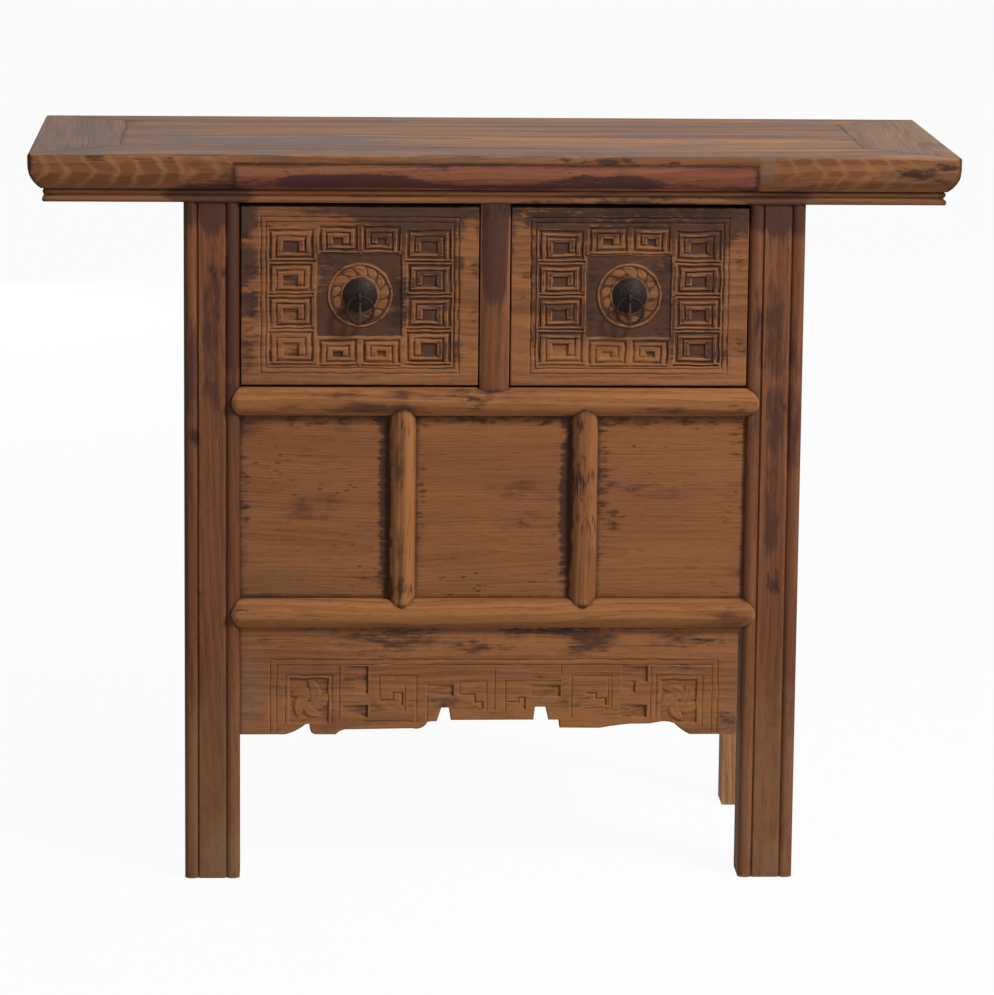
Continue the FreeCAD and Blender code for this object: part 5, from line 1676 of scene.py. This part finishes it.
@dataclass
class Ends(Assembly):
    """The two panelled ends and the panelled back."""

    rail_arris: float = 1 * MM
    end_station: float = 0.03
    back_station: float = 0.04

    def build(self, bench: Bench) -> None:
        """Make and dress their rails and panels.

        Args:
            bench: Where pieces are made.
        """
        wood = self.finishes
        rails, panels = ("upper", "middle", "lower"), ("upper", "lower")
        for side in ("left", "right"):
            for level in rails:
                bench.timber("side_rail_%s_%s" % (level, side), wood.dark, Grain.DEEP,
                             self.rail_arris, self.end_station)
            for level in panels:
                bench.timber("side_panel_%s_%s" % (level, side), wood.panel, Grain.DEEP, 0,
                             self.end_station)
        for level in rails:
            bench.timber("back_rail_" + level, wood.worn, Grain.ACROSS, self.rail_arris,
                         self.back_station)
        for level in panels:
            bench.timber("back_panel_" + level, wood.bare, Grain.ACROSS, 0, self.back_station)


@dataclass
class Inside(Assembly):
    """The runners and the floor of the closed compartment."""

    runner_arris: float = 0.8 * MM
    runner_station: float = 0.05
    floor_station: float = 0.06

    def build(self, bench: Bench) -> None:
        """Make and dress them in bare wood.

        Args:
            bench: Where pieces are made.
        """
        for place in ("left", "centre", "right"):
            bench.timber("drawer_runner_" + place, self.finishes.bare, Grain.DEEP,
                         self.runner_arris, self.runner_station)
        bench.timber("compartment_floor", self.finishes.bare, Grain.ACROSS, 0,
                     self.floor_station)


@dataclass
class CarvedApron(Assembly):
    """The apron with its carved band and cut lower edge; sizes in millimetres."""

    face: float = -195.0
    back: float = -189.5
    pitch: float = 1.0
    whorl: LeafRing = LeafRing((33.0, 17.0, 2.2, 5.5), 5, 13.4, 0.75, 0.14)
    whorls: tuple[tuple[float, float, float], ...] = ((-218.6, 219.0, 2.3), (227.0, 218.0, 0.6))
    seated: float = 0.2
    rim: float = 0.05
    closing: float = 1.3
    seed: int = 3

    def build(self, bench: Bench) -> None:
        """Carve the apron's face, lay the leaf whorls in it and dress it.

        Args:
            bench: Where pieces are made.
        """
        node, finish = "carved_apron", self.finishes.carved
        relief = ApronRelief(node, self.face, self.back, self.pitch)
        mesh = relief.build(bench)
        for vertex in mesh.vertices:
            if vertex.co.x < (relief.low[0] + self.rim) * MM:
                vertex.co.x -= self.closing * MM
        ground = self.face + relief.leaf_depth - self.seated
        for number, (x, z, turn) in enumerate(self.whorls):
            leaves = self.whorl.carve("leaf_whorl", (x, ground, z), turn, number + 1,
                                      bench.dressed(finish))
            mesh = joined(mesh, leaves)
        bench.carving(node, mesh, finish, self.seed)


@dataclass
class Drawer(Assembly):
    """A drawer: carved front, dovetailed box and iron pull; its face in millimetres."""

    side: str
    face: float = -198.0
    back: float = -190.5
    pitch: float = 0.8
    wreath: LeafRing = LeafRing((17.5, 10.5, 1.35, 1.5), 13, 29.0, 1.05, 0.2)
    wreath_turn: float = 0.1
    wreath_depth: float = 1.75
    box_station: float = 0.05

    SEEDS = {"left": 20, "right": 40}
    BOX = {"side_left": Grain.DEEP, "side_right": Grain.DEEP, "back": Grain.ACROSS,
           "base": Grain.ACROSS}

    def build(self, bench: Bench) -> None:
        """Make the front, the box and the pull.

        Args:
            bench: Where pieces are made.
        """
        node, finish = "drawer_%s_front" % self.side, self.finishes.carved
        seed = self.SEEDS[self.side]
        relief = DrawerRelief(node, self.face, self.back, self.pitch, seed=seed)
        mesh = relief.build(bench)
        middle = ((relief.low[0] + relief.high[0]) / 2, self.face + self.wreath_depth,
                  relief.low[1] + relief.centre_up)
        leaves = self.wreath.carve("leaf_wreath", middle, self.wreath_turn, seed,
                                   bench.dressed(finish))
        bench.carving(node, joined(mesh, leaves), finish, seed)
        for part, grain in self.BOX.items():
            bench.timber("drawer_%s_%s" % (self.side, part), self.finishes.bare, grain, 0,
                         self.box_station)
        for part in ("plate", "post", "ring"):
            bench.casting("pull_%s_%s" % (self.side, part), self.finishes.iron)


@dataclass(frozen=True)
class Lamp:
    """A soft round lamp: its place, the height that it points at, its width and its watts."""

    name: str
    place: tuple[float, float, float]
    aim: float
    size: float
    power: float
    mirrored: bool = True

    def hang(self) -> None:
        """Hang the lamp and point it; one that isn't mirrored doesn't show in the sheen."""
        data = bpy.data.lights.new(self.name, "AREA")
        data.shape = "DISK"
        data.size = self.size
        data.energy = self.power
        lamp = bpy.data.objects.new(self.name, data)
        lamp.location = self.place
        lamp.visible_camera = False
        lamp.visible_glossy = self.mirrored
        direction = Vector((0, 0, self.aim)) - Vector(self.place)
        lamp.rotation_euler = direction.to_track_quat("-Z", "Y").to_euler()
        bpy.context.scene.collection.objects.link(lamp)


@dataclass
class Studio:
    """Floor, sky, lamps and the camera at the photograph's angle."""

    place: tuple[float, float, float] = (-0.2466, -5.617, 1.4867)
    yaw: float = 2.657
    pitch: float = 10.63
    roll: float = 0.577
    focal: float = 167.23
    sensor: float = 36.0
    sight: float = 200.0
    sky: float = 0.15
    floor_half: float = 40.0
    floor_colour: Colour = (0.6, 0.6, 0.6, 1)
    floor_rough: float = 0.9
    floor_glow: float = 0.955
    lamps: tuple[Lamp, ...] = (
        Lamp("key_lamp", (2.5, -2.45, 3.65), 0.5, 0.9, 262.0),
        Lamp("fill_lamp", (1.2, -5.2, 1.0), 0.45, 2.4, 30.0),
        Lamp("back_lamp", (-1.6, 4.6, 1.0), 0.45, 2.4, 90.0, False))

    def build(self) -> None:
        """Set up everything round the table."""
        scene = bpy.context.scene
        scene.view_settings.view_transform = "Standard"
        self._camera(scene)
        self._world(scene)
        self._floor(scene)
        for lamp in self.lamps:
            lamp.hang()

    def _camera(self, scene: bpy.types.Scene) -> None:
        """Stand the camera where the photograph was taken.

        Args:
            scene: The scene that it is set up in.
        """
        yaw, pitch, roll = (math.radians(a) for a in (self.yaw, self.pitch, self.roll))
        ahead = Vector((math.sin(yaw) * math.cos(pitch), math.cos(yaw) * math.cos(pitch),
                        -math.sin(pitch)))
        right = Vector((math.cos(yaw), -math.sin(yaw), 0))
        up = right.cross(ahead)
        turned = right * math.cos(roll) + up * math.sin(roll)
        above = up * math.cos(roll) - right * math.sin(roll)
        data = bpy.data.cameras.new("camera")
        data.lens = self.focal
        data.sensor_width = self.sensor
        data.clip_end = self.sight
        camera = bpy.data.objects.new("camera", data)
        basis = Matrix((turned, above, -ahead)).transposed().to_4x4()
        camera.matrix_world = Matrix.Translation(self.place) @ basis
        scene.collection.objects.link(camera)
        scene.camera = camera

    @staticmethod
    def _seen(wiring: Wiring) -> Socket:
        """Tell rays that show the surroundings from those that light the table.

        Args:
            wiring: The material's or the sky's wiring.

        Returns:
            1 for the first, 0 for the second.
        """
        path = wiring.add("ShaderNodeLightPath").outputs
        seen = path["Is Camera Ray"]
        for kind in ("Is Glossy Ray", "Is Transmission Ray"):
            seen = wiring.out("ShaderNodeMath", {0: seen, 1: path[kind]}, operation="ADD",
                              use_clamp=True)
        return seen

    def _world(self, scene: bpy.types.Scene) -> None:
        """Make a plain white sky that lights at a lower level than it shows.

        Args:
            scene: The scene that it is set up in.
        """
        world = bpy.data.worlds.new("sky")
        world.use_nodes = True
        scene.world = world
        wiring = Wiring(world.node_tree)
        wiring.feed(world.node_tree.nodes["Background"], {
            "Color": WHITE, "Strength": wiring.spread(self._seen(wiring), self.sky, 1.0)})

    def _floor(self, scene: bpy.types.Scene) -> None:
        """Lay a pale floor that shows almost white and keeps a soft shadow.

        Args:
            scene: The scene that it is set up in.
        """
        half = self.floor_half
        mesh = bpy.data.meshes.new("floor")
        mesh.from_pydata([(-half, -half, 0), (half, -half, 0), (half, half, 0),
                          (-half, half, 0)], [], [(0, 1, 2, 3)])
        floor = bpy.data.objects.new("floor", mesh)
        scene.collection.objects.link(floor)
        made, wiring, shader = started("pale_floor")
        wiring.feed(shader, {"Base Color": self.floor_colour, "Roughness": self.floor_rough})
        glow = wiring.out("ShaderNodeEmission", {"Color": WHITE, "Strength": 1.0})
        share = wiring.math("MULTIPLY", self._seen(wiring), self.floor_glow)
        mixed = wiring.out("ShaderNodeMixShader", {0: share, 1: shader.outputs[0], 2: glow})
        wiring.feed(made.node_tree.nodes["Material Output"], {"Surface": mixed})
        mesh.materials.append(made)


def traces(trace: Trace, depth: float, rows: tuple) -> tuple[Mark, ...]:
    """Marks of one kind on a front, as across, up, half width, half height and strength."""
    return tuple(Mark(trace, (x, depth, z), (wide, 14, tall), strength)
                 for x, z, wide, tall, strength in rows)


LEG_MARKS = (
    # The first two lacquer rows darken the tops of the legs: darker lacquer, partly painted shadow
    # under the moulding.
    *traces(Trace.LACQUER_AND_SHADE, -198, (
        (-335, 822, 60, 36, 0.42), (335, 820, 60, 34, 0.4), (322, 700, 14, 90, 0.1),
        (-308, 740, 8, 70, 0.25), (0, 760, 30, 60, 0.3), (-335, 367, 9, 17, -0.4),
        (-335, 600, 60, 270, 0.17), (335, 520, 60, 210, 0.15), (335, 700, 60, 90, 0.06))),
    *traces(Trace.GREY, -198, (
        (-335, 110, 60, 150, 0.5), (335, 120, 60, 160, 0.42), (-322, 26, 16, 26, 0.8),
        (348, 20, 14, 20, 0.5))),
    *traces(Trace.STAIN_AND_SHADOW, -201, (
        (-356, 540, 9, 13, 1.0), (336, 370, 7, 13, 1.0), (336, 360, 7, 10, 0.9),
        (333, 402, 4, 20, 0.8), (314, 708, 8, 60, 0.35), (-345, 352, 9, 8, 0.5),
        (346, 580, 9, 16, 0.5), (-330, 740, 18, 8, 0.5), (-332, 690, 5, 16, 0.4))),
)
FRAME_MARKS = (
    *traces(Trace.STAIN_AND_SHADOW, -207, (
        (-20, 586, 30, 12, 0.6), (291, 580, 18, 9, 0.55), (-112, 357, 18, 15, 0.7),
        (106, 491, 18, 30, 0.6), (113, 436, 16, 14, 0.45), (-300, 330, 12, 12, 0.4),
        (-105, 552, 12, 10, 0.45), (105, 556, 10, 12, 0.4))),
    # The row at 598 darkens the upper half of the middle rail: painted shade over its lit top.
    *traces(Trace.LACQUER_AND_SHADE, -207, (
        (-200, 577, 100, 7, 0.2), (180, 575, 90, 6, 0.15), (0, 598, 320, 9, 0.1),
        (0, 338, 320, 8, -0.06), (-109, 470, 12, 140, 0.18))),
)
PANEL_MARKS = (
    # The rows at -128 and 89 are painted shadows of the stiles on the panels.
    *traces(Trace.STAIN_AND_SHADOW, -193, (
        (-205, 562, 100, 8, 0.5), (0, 562, 100, 8, 0.5), (205, 560, 100, 10, 0.5),
        (-128, 455, 6, 90, 2.8), (-296, 450, 8, 110, 0.45), (-86, 470, 8, 90, 0.45),
        (89, 455, 6, 90, 2.6), (132, 480, 9, 80, 0.45), (147, 440, 10, 12, 0.75),
        (279, 440, 14, 11, 0.5), (168, 476, 30, 14, 0.28), (290, 530, 10, 30, 0.5),
        (-152, 366, 26, 14, 0.4), (62, 368, 24, 14, 0.35))),
    *traces(Trace.GREY, -193, (
        (-262, 368, 52, 26, 0.4), (-40, 372, 60, 24, 0.3), (210, 362, 80, 18, 0.25))),
)
EDGE_MARKS = (
    *traces(Trace.STAIN_AND_SHADOW, -218, (
        (-172, 872, 11, 6, 0.9), (121, 874, 46, 6, 0.95), (204, 873, 10, 5, 0.7),
        (497, 862, 26, 8, 0.9), (534, 870, 18, 5, 0.85), (531, 852, 18, 4, 0.6),
        (-470, 874, 20, 5, 0.6), (-395, 875, 36, 4, 0.45), (-318, 848, 7, 12, 0.6),
        (442, 852, 9, 14, 0.4))),
    *traces(Trace.GREY, -218, ((318, 858, 9, 26, 0.8), (500, 858, 60, 22, 0.35))),
    *traces(Trace.LACQUER_AND_SHADE, -218, (
        (-178, 849, 66, 9, 0.42), (-110, 844, 70, 7, 0.35), (150, 848, 100, 9, 0.3),
        (0, 841, 300, 4, 0.3), (-272, 863, 44, 9, -0.3), (20, 858, 60, 11, -0.3),
        (250, 856, 60, 11, -0.25))),
    *traces(Trace.ARCH, -218, ((-440, 858, 150, 60, 1.0), (420, 858, 100, 60, 0.7))),
)
TOP_MARKS = (
    Mark(Trace.GREY, (-500, 0, 880), (66, 280, 20), 0.42),
    Mark(Trace.GREY, (505, 0, 880), (62, 280, 20), 0.25),
    Mark(Trace.LACQUER_AND_SHADE, (505, 0, 880), (70, 280, 20), -0.25),
    Mark(Trace.GREY, (-60, -178, 880), (520, 62, 20), 0.5),
    Mark(Trace.LACQUER_AND_SHADE, (60, 80, 880), (330, 60, 20), -0.3),
    Mark(Trace.LACQUER_AND_SHADE, (330, 90, 880), (100, 46, 20), -0.35),
    Mark(Trace.LACQUER_AND_SHADE, (-260, -60, 880), (150, 80, 20), 0.2),
    Mark(Trace.STAIN_AND_SHADOW, (-441, 150, 880), (9, 26, 12), 0.9),
    Mark(Trace.STAIN_AND_SHADOW, (-446, 60, 880), (8, 80, 12), 0.4),
    Mark(Trace.STAIN_AND_SHADOW, (446, 96, 880), (9, 40, 12), 0.6),
    Mark(Trace.STAIN_AND_SHADOW, (300, -60, 880), (46, 9, 12), 0.5),
    Mark(Trace.STAIN_AND_SHADOW, (415, -30, 880), (36, 9, 12), 0.6),
)
CARVING_MARKS = (
    # The rows at 805 and 813 darken the tops of the drawers: painted shadow of the top's overhang
    # with dark lacquer. The row at 292 darkens the top of the apron.
    *traces(Trace.LACQUER_AND_SHADE, -197, (
        (-130, 813, 112, 13, 0.34), (-160, 711, 52, 52, 0.11), (-62, 725, 40, 90, 0.2),
        (-232, 700, 34, 100, -0.06), (-160, 612, 170, 14, -0.22), (-26, 700, 12, 110, -0.2),
        (-292, 720, 12, 100, 0.14), (160, 805, 170, 26, 0.3), (160, 712, 52, 52, 0.14),
        (88, 712, 40, 74, 0.14), (232, 705, 34, 90, 0.1),
        (262, 715, 15, 100, 0.26), (48, 690, 9, 100, 0.2), (28, 690, 13, 110, -0.25),
        (160, 612, 170, 15, -0.34), (112, 640, 66, 22, -0.3), (292, 690, 12, 110, -0.2),
        (215, 690, 40, 80, 0.06), (-100, 790, 60, 20, 0.2), (0, 292, 300, 22, 0.18))),
    # The rows at 808 to 818 are painted shadow of the top's overhang along the drawers' tops, with
    # grime; the row at 307 is painted shadow of the lower rail on the apron.
    *traces(Trace.STAIN_AND_SHADOW, -197, (
        (-106, 706, 12, 34, 0.7), (-180, 742, 26, 10, 0.5), (196, 742, 20, 14, 0.6),
        (206, 700, 14, 26, 0.6), (116, 700, 12, 34, 0.55), (-290, 744, 9, 9, 0.7),
        (-288, 712, 10, 9, 0.7), (-286, 690, 8, 8, 0.6),
        (-284, 664, 10, 12, 0.6), (-295, 780, 9, 14, 0.5), (-22, 742, 11, 14, 0.6),
        (-24, 690, 8, 12, 0.5), (36, 736, 8, 8, 0.6), (34, 712, 8, 8, 0.5),
        (290, 750, 10, 16, 0.55), (294, 650, 10, 14, 0.5), (120, 742, 18, 16, 0.4),
        (-205, 752, 14, 14, 0.4), (-120, 700, 12, 40, 0.5), (270, 294, 34, 9, 0.5),
        (-160, 818, 130, 5, 0.7), (160, 814, 140, 14, 1.2), (100, 808, 90, 12, 0.6),
        (256, 770, 9, 40, 0.5), (255, 660, 7, 60, 0.4), (205, 755, 14, 14, 0.4),
        (196, 668, 12, 12, 0.4), (0, 307, 300, 4, 0.5))),
    *traces(Trace.GREY, -197, (
        (-292, 250, 20, 60, 0.28), (-240, 240, 60, 60, 0.1), (56, 690, 8, 110, 0.3),
        (0, 215, 300, 40, 0.1))),
)


def main() -> None:
    """Build the table piece by piece and report each one."""
    logging.basicConfig(level=logging.INFO, format="%(name)s: %(message)s")
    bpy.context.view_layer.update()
    bodies = {node: body for body, nodes in frame["record"]["behaviour"]["bodies"].items()
              for node in nodes}
    marks = LEG_MARKS + FRAME_MARKS + PANEL_MARKS + EDGE_MARKS + TOP_MARKS + CARVING_MARKS
    bench = Bench(Effects(), bodies, marks)
    finishes = Finishes()
    Studio().build()
    assemblies = [TopAssembly(finishes), EdgeMoulding(finishes), FrontFrame(finishes),
                  Ends(finishes), Inside(finishes), CarvedApron(finishes),
                  Drawer(finishes, "left"), Drawer(finishes, "right")]
    for assembly in assemblies:
        before = len(bench.made)
        assembly.build(bench)
        for obj in bench.made[before:]:
            log.info("%s: %d faces", obj.name, len(obj.data.polygons))


if __name__ == "__main__":
    main()
